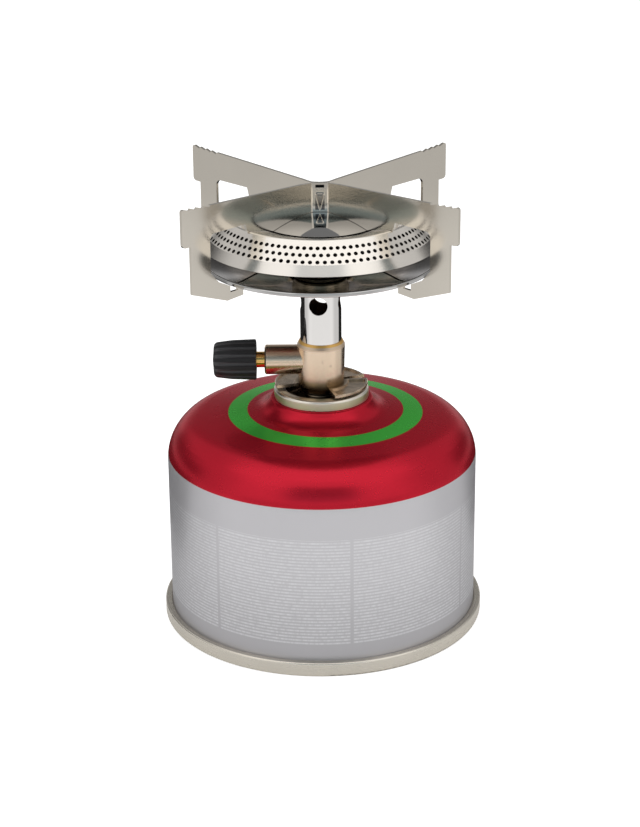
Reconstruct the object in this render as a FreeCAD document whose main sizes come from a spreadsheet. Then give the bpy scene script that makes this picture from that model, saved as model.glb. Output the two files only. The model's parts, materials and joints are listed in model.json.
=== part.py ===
import FreeCAD
import Part
import math
import os
import Sketcher

# Camping gas stove: a screw-on burner with folded pot supports, standing on its gas canister.
# Millimetres. The origin is the centre of the canister's foot, +Z is up, the valve knob points to -X.

SIZES = {
    # canister
    "can_radius": 52.6,
    "can_wall": 0.5,
    "seam_height": 4.95,
    "seam_hook_depth": 1.2,
    "seam_foot_round": 0.3,
    "seam_outer_round": 0.9,
    "seam_groove": 0.4,
    "base_bend_round": 3.0,
    "base_sheet": 0.6,
    "base_plate_height": 4.6,
    "base_centre_height": 10.0,
    "shoulder_slope": 48.7,
    "shoulder_round_share": 0.283,
    "crown_corner_share": 0.868,
    "crown_round_share": 0.235,
    "crown_slope": 8.0,
    "dome_height": 78.6,
    "dome_inner_radius": 16.9,
    "dome_inner_round": 1.2,
    "neck_foot_radius": 19.8,
    "neck_foot_round": 7.2,
    "neck_radius": 13.3,
    "neck_bead": 1.7,
    # mounting cup of the canister's valve
    "curl_radius": 16.0,
    "curl_groove_radius": 14.95,
    "curl_groove_width": 0.3,
    "curl_groove_depth": 0.22,
    "cup_sheet": 0.45,
    "cup_well_radius": 12.6,
    "cup_well_round": 0.45,
    "curl_round": 1.35,
    "curl_inner_round": 0.54,
    "gasket_inset": 0.15,
    # threaded nipple, 7/16 inch over its thread, pitch 1/28 inch
    "nipple_radius": 5.56,
    "nipple_roof": 1.2,
    "nipple_bore": 4.4,
    "nipple_mouth": 2.2,
    "nipple_chamfer": 0.5,
    "thread_play": 0.06,
    # the canister's self-closing valve
    "stem_gasket_thickness": 1.2,
    "stem_gasket_hole": 1.5,
    "housing_wall": 1.1,
    "housing_port": 0.8,
    "plunger_radius": 2.8,
    "plunger_height": 2.0,
    "plunger_travel": 1.2,
    "plunger_play": 0.1,
    "plunger_tail_radius": 1.4,
    "plunger_tail_length": 5.4,
    "spring_radius": 2.1,
    "spring_wire": 0.3,
    "spring_turns": 5.0,
    "spring_play": 0.05,
    # valve body of the burner
    "body_radius": 8.05,
    "body_foot_radius": 7.7,
    "skirt_radius": 6.9,
    "cut_margin": 1.0,
    "lip_radius": 7.2,
    "filter_recess_radius": 3.2,
    "inlet_radius": 0.8,
    "jet_radius": 3.0,
    "outlet_radius": 0.6,
    "outlet_reach": 2.2,
    # three grip lobes round the foot of the valve body, dished inside a rim
    "lobe_count": 3,
    "lobe_turn": -32.0,
    "lobe_span": 188.0,
    "lobe_half_angle": 41.0,
    "lobe_radius": 15.7,
    "lobe_root": 6.5,
    "lobe_edge": 0.25,
    "lobe_rim": 1.0,
    "lobe_recess_half_angle": 36.5,
    "lobe_recess_inner_radius": 9.0,
    "lobe_recess_bend_share": 0.93,
    "lobe_recess_round": 0.6,
    "lobe_recess_inner_round": 0.3,
    # side arm, needle and knob
    "arm_radius": 5.05,
    "arm_root": 5.5,
    "arm_reach": 19.0,
    "arm_chamfer": 0.5,
    "seat_reach": 1.2,
    "seat_radius": 0.7,
    "chamber_radius": 1.6,
    "chamber_reach": 6.0,
    "spindle_radius": 2.7,
    "spindle_play": 0.05,
    "spindle_shoulder": 6.6,
    "needle_radius": 1.2,
    "needle_tip_radius": 0.25,
    "needle_length": 1.5,
    "seal_reach": 9.4,
    "seal_wire": 0.8,
    "seal_groove": 1.0,
    "seal_play": 0.03,
    "spindle_end": 32.0,
    "spindle_tang_radius": 2.0,
    "knob_start": 21.8,
    "knob_end": 36.5,
    "knob_radius": 6.9,
    "knob_mid_radius": 6.6,
    "knob_mid_reach": 30.0,
    "knob_end_radius": 5.85,
    "knob_round": 1.6,
    "knob_mid_round": 4.4,
    "knob_face_round": 0.6,
    "knob_face_dome": 0.5,
    "flute_count": 15,
    "flute_radius": 0.75,
    "flute_centre": 6.75,
    "knob_hub_radius": 3.6,
    "knob_hub_recess": 0.8,
    # ring, pin, filter and jet inside the valve body
    "ring_radius": 4.2,
    "ring_wire": 1.5,
    "ring_play": 0.05,
    "pin_radius": 1.0,
    "pin_head_height": 0.5,
    "pin_play": 0.05,
    "pin_port_radius": 0.45,
    "pin_port_circle": 2.1,
    "pin_port_count": 3,
    "jet_base_gap": 0.5,
    "jet_hex_size": 3.5,
    "jet_tip_radius": 1.6,
    "jet_tip_end_radius": 0.8,
    "jet_tip_taper": 0.5,
    "jet_bore": 0.9,
    "jet_orifice": 0.16,
    "jet_orifice_length": 1.0,
    # mixing tube and collar
    "tube_radius": 6.92,
    "tube_wall": 0.5,
    "tube_flare_radius": 8.4,
    "air_hole_radius": 3.1,
    "air_hole_turn": -7.5,
    "air_hole_count": 4,
    "collar_radius": 9.1,
    "collar_play": 0.05,
    "collar_rib_count": 8,
    "collar_groove_depth": 0.9,
    "collar_groove_share": 0.45,
    "collar_floor_share": 0.5,
    # drip dish
    "dish_sheet": 0.5,
    "dish_hub_radius": 10.4,
    "dish_round": 60.0,
    "dish_hub_round": 2.0,
    "dish_lip_width": 1.0,
    "dish_lip_round": 0.45,
    "dish_lip_foot_round": 0.4,
    "dish_slot_play": 0.3,
    # burner head
    "pan_sheet": 0.5,
    "pan_round": 3.0,
    "pan_edge_play": 0.1,
    "cap_sheet": 0.5,
    "cap_radius": 39.3,
    "cap_crest_round": 0.9,
    "flame_hole_radius": 0.675,
    "flame_hole_count": 98,
    "flame_row_step": 2.5,
    "flame_turn": 0.35,
    "disc_sheet": 0.5,
    "disc_round_share": 0.46,
    # pot supports: two folded sheets, back to back
    "support_sheet": 1.0,
    "arm_angle": 45.0,
    "arm_plate_depth": 8.7,
    "support_gap": 0.1,
    "fold_corner": 2.9,
    "fold_round": 1.6,
    "support_contact_play": 0.12,
    "arm_top_start": 6.5,
    "tooth_pitch": 2.75,
    "tooth_depth": 0.75,
    "tooth_root_share": 0.85,
    "tooth_count": 4,
    "leg_reach": 55.9,
    "bar_inner_reach": 11.0,
    "bar_floor_gap": 0.35,
    "window_step_lean": 0.8,
    "window_round": 2.1,
    "ear_round": 0.8,
    "ear_foot_round": 1.3,
    "centre_slot_width": 2.9,
    "centre_slot_height": 1.0,
    "centre_slot_drop": 0.4,
}

# Sizes counted from another size, so that a piece keeps its place on what carries it.
FROM = {
    # seam and end plate, from the wall of the can
    "can_radius": {
        "seam_radius": 2.4,
        "seam_inner_radius": -0.6,
        "base_flat_inner_radius": -6.6,
    },
    # crown, neck and valve of the canister, from the top of the dome
    "dome_height": {
        "crown_height": -4.13,
        "neck_inner_height": -0.9,
        "neck_bead_height": 1.0,
        "neck_top": 2.3,
        "curl_bottom": -0.1,
        "curl_top": 3.3,
        "cup_floor": -1.6,
        "nipple_top": 8.0,
        "housing_bottom": -8.6,
    },
    # valve body, needle, jet and tube, from the nipple they are screwed onto
    "nipple_top": {
        "body_foot_height": -3.7,
        "skirt_bottom": -5.4,
        "lip_bottom": 10.4,
        "lip_top": 11.9,
        "socket_top": 1.6,
        "filter_recess_top": 2.6,
        "jet_floor": 7.7,
        "tube_seat_height": 9.4,
        "lobe_top": -2.95,
        "lobe_bottom": -4.0,
        "lobe_recess_floor": -3.55,
        "arm_height": 4.75,
        "jet_hex_bottom": 10.6,
        "jet_hex_top": 13.0,
        "jet_tip_top": 17.9,
        "air_hole_height": 25.5,
        "cap_bottom": 46.2,
    },
    # burner head, dish and supports, from the lower edge of the cap
    "cap_bottom": {
        "dish_hub_bottom": -13.7,
        "dish_middle_height": -10.7,
        "dish_lip_bottom": -7.0,
        "dish_lip_top": -5.6,
        "pan_bottom": -2.4,
        "cap_rim_top": 3.3,
        "cap_crest_height": 9.65,
        "cap_ring_inner_height": 7.15,
        "cap_floor": 6.5,
        "disc_edge_height": 7.4,
        "disc_centre_height": 10.15,
        "centre_top": 19.8,
        "arm_top_inner": 20.2,
        "arm_top_outer": 21.8,
        "ear_top": 22.5,
        "ear_bottom": 10.1,
        "leg_top": 10.0,
        "foot_outer_height": -5.8,
        "foot_tip_height": -11.2,
        "foot_inner_height": -10.8,
        "window_top": 12.4,
        "window_outer_bottom": -0.5,
        "window_chamfer_height": -4.2,
        "notch_outer_height": -6.5,
        "notch_floor": -8.6,
        "notch_inner_top": -6.4,
        "bar_bend_height": -5.2,
        "bar_inner_top": -4.4,
    },
    # the same pieces in plan, from the rim of the cap
    "cap_radius": {
        "cap_rim_radius": -2.05,
        "cap_crest_radius": -8.4,
        "cap_ring_inner_radius": -18.4,
        "flame_row_middle": -4.5,
        "pan_corner_radius": -5.8,
        "disc_radius": -19.1,
        "dish_lip_radius": -0.5,
        "dish_middle_radius": -14.8,
        "dish_slot_start": -5.6,
        "dish_slot_end": -2.0,
        "foot_tip_reach": 1.7,
        "foot_inner_reach": -5.3,
        "notch_outer": 0.3,
        "notch_inner": -3.0,
        "bar_rise_reach": -5.1,
        "bar_bend_reach": -12.2,
        "window_step": -6.8,
    },
    # outer end of a support arm, from the outside of its leg
    "leg_reach": {
        "ear_reach": 3.5,
        "tooth_start": -8.5,
        "window_outer": -8.1,
        "window_chamfer_reach": -11.5,
    },
}

doc = FreeCAD.newDocument("CampingStove")
sheet = doc.addObject("Spreadsheet::Sheet", "Sizes")
values = dict(SIZES)
entries = {alias: repr(number) for alias, number in SIZES.items()}
for base, distances in FROM.items():
    for alias, distance in distances.items():
        values[alias] = values[base] + distance
        entries[alias] = f"={base} + ({distance})"
for row, alias in enumerate(entries, start=1):
    sheet.set(f"A{row}", alias)
    sheet.setAlias(f"B{row}", alias)
    sheet.set(f"B{row}", entries[alias])
doc.recompute()


class Size:
    """A number together with the formula that ties it to the cells of the sheet."""

    def __init__(self, value, formula):
        self.value = value
        self.formula = formula

    @staticmethod
    def of(thing):
        if isinstance(thing, Size):
            return thing
        return Size(float(thing), repr(float(thing)))

    def combine(self, other, sign, work):
        other = Size.of(other)
        return Size(work(self.value, other.value), f"({self.formula} {sign} {other.formula})")

    def __add__(self, other):
        return self.combine(other, "+", lambda a, b: a + b)

    def __sub__(self, other):
        return self.combine(other, "-", lambda a, b: a - b)

    def __mul__(self, other):
        return self.combine(other, "*", lambda a, b: a * b)

    def __truediv__(self, other):
        return self.combine(other, "/", lambda a, b: a / b)

    def __radd__(self, other):
        return Size.of(other) + self

    def __rsub__(self, other):
        return Size.of(other) - self

    def __rmul__(self, other):
        return Size.of(other) * self

    def __neg__(self):
        return Size(-self.value, f"(0 - {self.formula})")


class Cells:
    """Reads the sheet: at.can_radius is the Size of the cell with that alias."""

    def __getattr__(self, alias):
        return Size(float(values[alias]), f"Sizes.{alias}")


at = Cells()
ZERO = Size(0.0, "0")


def cosine(angle):
    angle = Size.of(angle)
    return Size(math.cos(math.radians(angle.value)), f"cos({angle.formula} * 1 deg)")


def sine(angle):
    angle = Size.of(angle)
    return Size(math.sin(math.radians(angle.value)), f"sin({angle.formula} * 1 deg)")


def tangent(angle):
    angle = Size.of(angle)
    return Size(math.tan(math.radians(angle.value)), f"tan({angle.formula} * 1 deg)")


def root(number):
    return Size(math.sqrt(number.value), f"sqrt({number.formula})")


def turned(along, across, angle):
    """The plan position of a point given along and across a direction at that angle."""
    x = along * cosine(angle) - across * sine(angle)
    y = along * sine(angle) + across * cosine(angle)
    return x, y


def offset_corners(points, distance):
    """The same path shifted to its right-hand side, for sheet of even thickness."""
    normals = []
    for (x0, y0), (x1, y1) in zip(points, points[1:]):
        dx = Size.of(x1) - x0
        dy = Size.of(y1) - y0
        length = root(dx * dx + dy * dy)
        normals.append((dy / length, -dx / length))
    shifted = []
    for i, (x, y) in enumerate(points):
        nx, ny = normals[max(i - 1, 0)]
        mx, my = normals[min(i, len(normals) - 1)]
        spread = 1 + nx * mx + ny * my
        shifted.append((x + distance * (nx + mx) / spread, y + distance * (ny + my) / spread))
    return shifted


# Sketches and features

def new_body(name):
    body = doc.addObject("PartDesign::Body", name)
    body.Label = name
    return body


def new_sketch(body, name, plane, lift=None, turn=None):
    """A sketch on an origin plane of its body, lifted along the normal or turned about Z."""
    sketch = body.newObject("Sketcher::SketchObject", name)
    support = [f for f in body.Origin.OriginFeatures if f.Role == plane][0]
    sketch.AttachmentSupport = (support, [""])
    sketch.MapMode = "FlatFace"
    if lift is not None:
        axis = "z" if plane == "XY_Plane" else "y"
        sketch.setExpression(f"AttachmentOffset.Base.{axis}", lift.formula)
    if turn is not None:
        sketch.AttachmentOffset = FreeCAD.Placement(
            FreeCAD.Vector(0, 0, 0), FreeCAD.Rotation(FreeCAD.Vector(0, 1, 0), turn.value)
        )
        sketch.setExpression("AttachmentOffset.Rotation.Angle", turn.formula)
    return sketch


class Tie:
    """Collects the constraints of one sketch, and the formulas that drive them."""

    def __init__(self, sketch):
        self.sketch = sketch
        self.constraints = []
        self.formulas = []
        self.count = sketch.ConstraintCount

    def add(self, *words):
        self.constraints.append(Sketcher.Constraint(*words))

    def drive(self, size, *words):
        constraint = Sketcher.Constraint(*words, size.value)
        constraint.Name = f"size_{self.count + len(self.constraints)}"
        self.constraints.append(constraint)
        self.formulas.append((constraint.Name, size.formula))

    def place(self, geometry, point, x, y):
        """Fixes a point of the sketch at x, y, each a size or zero."""
        for size, word, axis in ((x, "DistanceX", -2), (y, "DistanceY", -1)):
            if size is ZERO:
                self.add("PointOnObject", geometry, point, axis)
            else:
                self.drive(size, word, -1, 1, geometry, point)

    def close(self):
        self.sketch.addConstraint(self.constraints)
        for name, formula in self.formulas:
            self.sketch.setExpression(f"Constraints.{name}", formula)


def draw_outline(sketch, corners):
    """Draws a closed outline from its corners: (x, y) or (x, y, rounding radius)."""
    spots = []
    for corner in corners:
        x, y = (ZERO if isinstance(c, int) and c == 0 else Size.of(c) for c in corner[:2])
        spots.append((x, y, Size.of(corner[2]) if len(corner) > 2 else None))
    count = len(spots)
    here = [FreeCAD.Vector(x.value, y.value, 0) for x, y, radius in spots]
    into = []
    out = []
    for i, (x, y, radius) in enumerate(spots):
        back = (here[i - 1] - here[i]).normalize()
        ahead = (here[(i + 1) % count] - here[i]).normalize()
        if radius is None:
            into.append(here[i])
            out.append(here[i])
            continue
        half = back.getAngle(ahead) / 2
        into.append(here[i] + back * (radius.value / math.tan(half)))
        out.append(here[i] + ahead * (radius.value / math.tan(half)))
    tie = Tie(sketch)
    lines = [
        sketch.addGeometry(Part.LineSegment(out[i], into[(i + 1) % count]), False) for i in range(count)
    ]
    for i, (x, y, radius) in enumerate(spots):
        before = lines[i - 1]
        after = lines[i]
        if radius is None:
            tie.add("Coincident", before, 2, after, 1)
            tie.place(after, 1, x, y)
            continue
        middle = (into[i] + out[i]) * 0.5 - here[i]
        half = (into[i] - here[i]).getAngle(out[i] - here[i]) / 2
        centre = here[i] + middle.normalize() * (radius.value / math.sin(half))
        top = centre + (here[i] - centre).normalize() * radius.value
        arc = sketch.addGeometry(Part.Arc(into[i], top, out[i]), False)
        corner = sketch.addGeometry(Part.Point(here[i]), True)
        arc_start = sketch.getPoint(arc, 1)
        forward = arc_start.distanceToPoint(into[i]) < arc_start.distanceToPoint(out[i])
        first, last = (1, 2) if forward else (2, 1)
        tie.add("Tangent", before, 2, arc, first)
        tie.add("Tangent", arc, last, after, 1)
        tie.drive(radius, "Radius", arc)
        tie.place(corner, 1, x, y)
        tie.add("PointOnObject", corner, 1, before)
        tie.add("PointOnObject", corner, 1, after)
    tie.close()


def draw_circle(sketch, x, y, radius):
    x, y = (ZERO if isinstance(c, int) and c == 0 else Size.of(c) for c in (x, y))
    tie = Tie(sketch)
    centre = FreeCAD.Vector(x.value, y.value, 0)
    circle = sketch.addGeometry(Part.Circle(centre, FreeCAD.Vector(0, 0, 1), radius.value), False)
    tie.place(circle, 3, x, y)
    tie.drive(radius, "Radius", circle)
    tie.close()


def revolve(body, corners, name="Profile", about="V_Axis", cut=False, lift=None):
    """Turns an outline in the XZ plane about Z, or about the lifted X axis, as material or as a cut."""
    sketch = new_sketch(body, name, "XZ_Plane", lift=lift)
    draw_outline(sketch, corners)
    kind = "PartDesign::Groove" if cut else "PartDesign::Revolution"
    feature = body.newObject(kind, f"{name}_turned")
    feature.Profile = sketch
    feature.ReferenceAxis = (sketch, [about])
    feature.Angle = 360.0
    body.Tip = feature
    return feature


def pad(body, sketch, length, name):
    feature = body.newObject("PartDesign::Pad", name)
    feature.Profile = sketch
    feature.setExpression("Length", length.formula)
    body.Tip = feature
    return feature


def pocket(body, sketch, name, length=None):
    """Cuts against the sketch's normal: to a depth, or right through."""
    feature = body.newObject("PartDesign::Pocket", name)
    feature.Profile = sketch
    if length is None:
        feature.Type = "ThroughAll"
    else:
        feature.setExpression("Length", length.formula)
    body.Tip = feature
    return feature


def repeat_round(body, features, sketch, axis, count, name, span=None):
    """Repeats features all round an axis, or over a span of it with one at each end."""
    pattern = body.newObject("PartDesign::PolarPattern", name)
    pattern.Originals = features
    pattern.Axis = (sketch, [axis])
    pattern.Angle = 360.0
    if span is not None:
        pattern.setExpression("Angle", span.formula)
    pattern.setExpression("Occurrences", count.formula)
    body.Tip = pattern
    return pattern


# Canister

def make_canister_shell():
    """Deep-drawn can: straight wall, round shoulder, flat crown, raised neck and its bead."""
    body = new_body("canister_shell")
    shoulder_round = at.can_radius * at.shoulder_round_share
    crown_round = at.can_radius * at.crown_round_share
    corner = at.can_radius * at.crown_corner_share
    corner_height = at.crown_height - (corner - at.neck_foot_radius) * tangent(at.crown_slope)
    shoulder = corner_height - (at.can_radius - corner) * tangent(at.shoulder_slope)
    outside = [
        (at.can_radius, at.seam_hook_depth),
        (at.can_radius, shoulder),
        (corner, corner_height),
        (at.neck_foot_radius, at.crown_height),
        (at.dome_inner_radius, at.dome_height),
        (at.neck_radius, at.neck_inner_height),
    ]
    inside = offset_corners(outside, -at.can_wall)
    bore = at.neck_radius - at.can_wall
    revolve(body, [
        outside[0],
        (*outside[1], shoulder_round),
        (*outside[2], crown_round),
        (*outside[3], at.neck_foot_round),
        (*outside[4], at.dome_inner_round),
        outside[5],
        (at.neck_radius, at.neck_bead_height),
        (at.neck_radius + at.neck_bead, at.neck_bead_height),
        (at.neck_radius + at.neck_bead, at.neck_top),
        (bore, at.neck_top),
        (bore, at.neck_inner_height - at.can_wall),
        (*inside[4], at.dome_inner_round - at.can_wall),
        (*inside[3], at.neck_foot_round + at.can_wall),
        (*inside[2], crown_round - at.can_wall),
        (*inside[1], shoulder_round - at.can_wall),
        inside[0],
    ])
    return body


def make_canister_base():
    """End plate, bowed inwards, with the double seam that the can stands on."""
    body = new_body("canister_base")
    wall = at.can_radius - at.can_wall
    revolve(body, [
        (at.seam_inner_radius, 0, at.seam_foot_round),
        (at.seam_radius, 0, at.seam_outer_round),
        (at.seam_radius, at.seam_height, at.base_sheet),
        (at.can_radius + at.seam_groove, at.seam_height),
        (at.can_radius, at.seam_height - at.seam_groove),
        (at.can_radius, at.seam_hook_depth),
        (wall, at.seam_hook_depth),
        (wall, at.base_plate_height + at.base_sheet),
        (at.base_flat_inner_radius, at.base_plate_height + at.base_sheet, at.base_bend_round),
        (0, at.base_centre_height + at.base_sheet),
        (0, at.base_centre_height),
        (at.base_flat_inner_radius, at.base_plate_height, at.base_bend_round),
        (at.seam_inner_radius, at.base_plate_height, at.base_sheet),
    ])
    return body


def make_valve_cup():
    """Mounting cup: grooved curl over the neck, flat floor and the threaded nipple."""
    body = new_body("valve_cup")
    inside = at.curl_radius - at.cup_sheet
    groove = at.curl_groove_radius - at.curl_groove_width
    revolve(body, [
        (at.curl_radius, at.curl_bottom),
        (at.curl_radius, at.curl_top, at.curl_round - at.cup_sheet),
        (at.curl_groove_radius, at.curl_top),
        (at.curl_groove_radius, at.curl_top - at.curl_groove_depth),
        (groove, at.curl_top - at.curl_groove_depth),
        (groove, at.curl_top),
        (at.cup_well_radius - at.cup_sheet, at.curl_top, at.curl_round - at.cup_sheet),
        (at.cup_well_radius - at.cup_sheet, at.cup_floor, at.cup_well_round),
        (at.nipple_radius, at.cup_floor),
        (at.nipple_radius, at.nipple_top - at.nipple_chamfer),
        (at.nipple_radius - at.nipple_chamfer, at.nipple_top),
        (at.nipple_mouth, at.nipple_top),
        (at.nipple_mouth, at.nipple_top - at.nipple_roof),
        (at.nipple_bore, at.nipple_top - at.nipple_roof),
        (at.nipple_bore, at.cup_floor - at.cup_sheet),
        (at.cup_well_radius, at.cup_floor - at.cup_sheet, at.cup_well_round + at.cup_sheet),
        (at.cup_well_radius, at.curl_top - at.cup_sheet),
        (inside, at.curl_top - at.cup_sheet, at.curl_inner_round),
        (inside, at.curl_bottom),
    ])
    return body


def make_cup_gasket():
    body = new_body("cup_gasket")
    revolve(body, [
        (at.cup_well_radius + at.gasket_inset, at.neck_top),
        (at.neck_radius + at.neck_bead, at.neck_top),
        (at.neck_radius + at.neck_bead, at.curl_top - at.cup_sheet - at.gasket_inset),
        (at.cup_well_radius + at.gasket_inset, at.curl_top - at.cup_sheet),
    ])
    return body


gasket_bottom = at.nipple_top - at.nipple_roof - at.stem_gasket_thickness
plunger_top = gasket_bottom - at.plunger_travel - at.plunger_play
plunger_shoulder = plunger_top - at.plunger_height
housing_floor = at.housing_bottom + at.housing_wall


def make_stem_gasket():
    body = new_body("stem_gasket")
    revolve(body, [
        (at.stem_gasket_hole, gasket_bottom),
        (at.nipple_bore, gasket_bottom),
        (at.nipple_bore, at.nipple_top - at.nipple_roof),
        (at.stem_gasket_hole, at.nipple_top - at.nipple_roof),
    ])
    return body


def make_valve_housing():
    """Plastic housing pressed up into the nipple; it holds the plunger and its spring."""
    body = new_body("valve_housing")
    revolve(body, [
        (at.housing_port, at.housing_bottom),
        (at.nipple_bore, at.housing_bottom),
        (at.nipple_bore, gasket_bottom),
        (at.nipple_bore - at.housing_wall, gasket_bottom),
        (at.nipple_bore - at.housing_wall, housing_floor),
        (at.housing_port, housing_floor),
    ])
    return body


def make_valve_plunger():
    """Plunger of the canister's valve, held open by the stove's pin."""
    body = new_body("valve_plunger")
    revolve(body, [
        (0, plunger_shoulder - at.plunger_tail_length),
        (at.plunger_tail_radius, plunger_shoulder - at.plunger_tail_length),
        (at.plunger_tail_radius, plunger_shoulder),
        (at.plunger_radius, plunger_shoulder),
        (at.plunger_radius, plunger_top),
        (0, plunger_top),
    ])
    return body


def make_valve_spring():
    """Closing spring of the canister's valve: an open helix of round wire."""
    wire = at.spring_wire
    bottom = housing_floor + at.spring_play + wire
    height = plunger_shoulder - at.spring_play - wire - bottom
    helix = doc.addObject("Part::Helix", "SpringPath")
    helix.setExpression("Height", height.formula)
    helix.setExpression("Pitch", (height / at.spring_turns).formula)
    helix.setExpression("Radius", at.spring_radius.formula)
    helix.setExpression("Placement.Base.z", bottom.formula)
    section = doc.addObject("Part::Circle", "SpringSection")
    section.setExpression("Radius", wire.formula)
    section.Placement.Rotation = FreeCAD.Rotation(FreeCAD.Vector(1, 0, 0), 90)
    section.setExpression("Placement.Base.x", at.spring_radius.formula)
    section.setExpression("Placement.Base.z", bottom.formula)
    doc.recompute()
    spring = doc.addObject("Part::Sweep", "valve_spring")
    spring.Label = "valve_spring"
    spring.Sections = [section]
    spring.Spine = (helix, ["Edge1"])
    spring.Solid = True
    spring.Frenet = True
    return spring


# Valve body and what it holds

def make_valve_body():
    """Forged valve body: threaded socket, three grip lobes, side arm and seat for the tube."""
    body = new_body("valve_body")
    revolve(body, [
        (0, at.skirt_bottom),
        (at.skirt_radius, at.skirt_bottom),
        (at.body_foot_radius, at.body_foot_height),
        (at.body_radius, at.lip_bottom),
        (at.lip_radius, at.lip_top),
        (0, at.lip_top),
    ], "Forging")
    add_lobes(body)
    end = -at.arm_reach
    revolve(body, [
        (end, 0),
        (end, at.arm_radius - at.arm_chamfer),
        (end + at.arm_chamfer, at.arm_radius),
        (-at.arm_root, at.arm_radius),
        (-at.arm_root, 0),
    ], "Arm", about="H_Axis", lift=at.arm_height)
    socket = at.nipple_radius + at.thread_play
    below = at.skirt_bottom - at.cut_margin
    revolve(body, [
        (0, below),
        (socket, below),
        (socket, at.socket_top),
        (at.filter_recess_radius, at.socket_top),
        (at.filter_recess_radius, at.filter_recess_top),
        (0, at.filter_recess_top),
    ], "Socket", cut=True)
    above = at.lip_top + at.cut_margin
    revolve(body, [
        (0, at.jet_floor),
        (at.jet_radius, at.jet_floor),
        (at.jet_radius, at.tube_seat_height),
        (at.tube_radius, at.tube_seat_height),
        (at.tube_radius, above),
        (0, above),
    ], "TubeSeat", cut=True)
    bore = at.spindle_radius + at.spindle_play
    revolve(body, [
        (ZERO, 0),
        (0, at.seat_radius),
        (-at.seat_reach, at.seat_radius),
        (-at.seat_reach, at.chamber_radius),
        (-at.chamber_reach, at.chamber_radius),
        (-at.chamber_reach, bore),
        (end - at.arm_chamfer, bore),
        (end - at.arm_chamfer, 0),
    ], "NeedleBore", about="H_Axis", cut=True, lift=at.arm_height)
    inlet = new_sketch(body, "Inlet", "XY_Plane", lift=at.arm_height)
    draw_circle(inlet, 0, 0, at.inlet_radius)
    pocket(body, inlet, "Inlet_cut", at.arm_height - at.filter_recess_top)
    outlet = new_sketch(body, "Outlet", "XY_Plane", lift=at.jet_floor)
    draw_circle(outlet, -at.outlet_reach, 0, at.outlet_radius)
    pocket(body, outlet, "Outlet_cut", at.jet_floor - at.arm_height)
    return body


def add_lobes(body):
    """Grip lobes over the cup: thin sectors, each dished inside a raised rim."""
    sector = new_sketch(body, "LobeSector", "XY_Plane", lift=at.lobe_bottom)
    reach = at.lobe_radius + at.lobe_root
    low = at.lobe_turn - at.lobe_half_angle
    high = at.lobe_turn + at.lobe_half_angle
    draw_outline(sector, [
        turned(at.lobe_root, ZERO, low),
        turned(reach, ZERO, low),
        turned(reach / cosine(at.lobe_half_angle), ZERO, at.lobe_turn),
        turned(reach, ZERO, high),
        turned(at.lobe_root, ZERO, high),
    ])
    lobe = pad(body, sector, at.lobe_top - at.lobe_bottom, "Lobe")
    repeat_round(body, [lobe], sector, "N_Axis", at.lobe_count, "Lobes", at.lobe_span)
    far = reach / cosine(at.lobe_half_angle) + at.lobe_edge
    over = at.lobe_top + at.lobe_edge
    under = at.lobe_bottom - at.lobe_edge
    revolve(body, [
        (at.lobe_radius - at.lobe_edge, at.lobe_top),
        (at.lobe_radius, at.lobe_top - at.lobe_edge),
        (at.lobe_radius, at.lobe_bottom + at.lobe_edge),
        (at.lobe_radius - at.lobe_edge, at.lobe_bottom),
        (at.lobe_radius - at.lobe_edge, under),
        (far, under),
        (far, over),
        (at.lobe_radius - at.lobe_edge, over),
    ], "LobeTrim", cut=True)
    recess = new_sketch(body, "LobeRecess", "XY_Plane", lift=at.lobe_top)
    outer = at.lobe_radius - at.lobe_rim
    inner = at.lobe_recess_inner_radius
    spread = cosine(at.lobe_recess_half_angle)
    start = at.lobe_turn - at.lobe_recess_half_angle
    end = at.lobe_turn + at.lobe_recess_half_angle
    draw_outline(recess, [
        (*turned(inner, ZERO, start), at.lobe_recess_inner_round),
        (*turned(outer, ZERO, start), at.lobe_recess_round),
        (*turned(outer / spread, ZERO, at.lobe_turn), outer * at.lobe_recess_bend_share),
        (*turned(outer, ZERO, end), at.lobe_recess_round),
        (*turned(inner, ZERO, end), at.lobe_recess_inner_round),
        (*turned(inner / spread, ZERO, at.lobe_turn), inner * at.lobe_recess_bend_share),
    ])
    hollow = pocket(body, recess, "LobeRecess_cut", at.lobe_top - at.lobe_recess_floor)
    repeat_round(body, [hollow], recess, "N_Axis", at.lobe_count, "LobeRecesses", at.lobe_span)


def make_canister_seal():
    """Rubber ring in the roof of the socket, on the nipple's end face."""
    ring = doc.addObject("Part::Torus", "canister_seal")
    ring.Label = "canister_seal"
    ring.setExpression("Radius1", at.ring_radius.formula)
    ring.setExpression("Radius2", (at.ring_wire * 0.5).formula)
    ring.setExpression("Placement.Base.z", (at.nipple_top + at.ring_play + at.ring_wire * 0.5).formula)
    return ring


def make_actuator_pin():
    """Pin that opens the canister's valve, with gas ports through its head."""
    body = new_body("actuator_pin")
    revolve(body, [
        (0, plunger_top + at.pin_play),
        (at.pin_radius, plunger_top + at.pin_play),
        (at.pin_radius, at.socket_top),
        (at.filter_recess_radius, at.socket_top),
        (at.filter_recess_radius, at.socket_top + at.pin_head_height),
        (0, at.socket_top + at.pin_head_height),
    ])
    port = new_sketch(body, "Port", "XY_Plane", lift=at.socket_top + at.pin_head_height)
    draw_circle(port, at.pin_port_circle, 0, at.pin_port_radius)
    hole = pocket(body, port, "Port_cut", at.pin_head_height)
    repeat_round(body, [hole], port, "N_Axis", at.pin_port_count, "Ports")
    return body


def make_inlet_filter():
    body = new_body("inlet_filter")
    revolve(body, [
        (0, at.socket_top + at.pin_head_height),
        (at.filter_recess_radius, at.socket_top + at.pin_head_height),
        (at.filter_recess_radius, at.filter_recess_top),
        (0, at.filter_recess_top),
    ])
    return body


HEXAGON = 6


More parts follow.
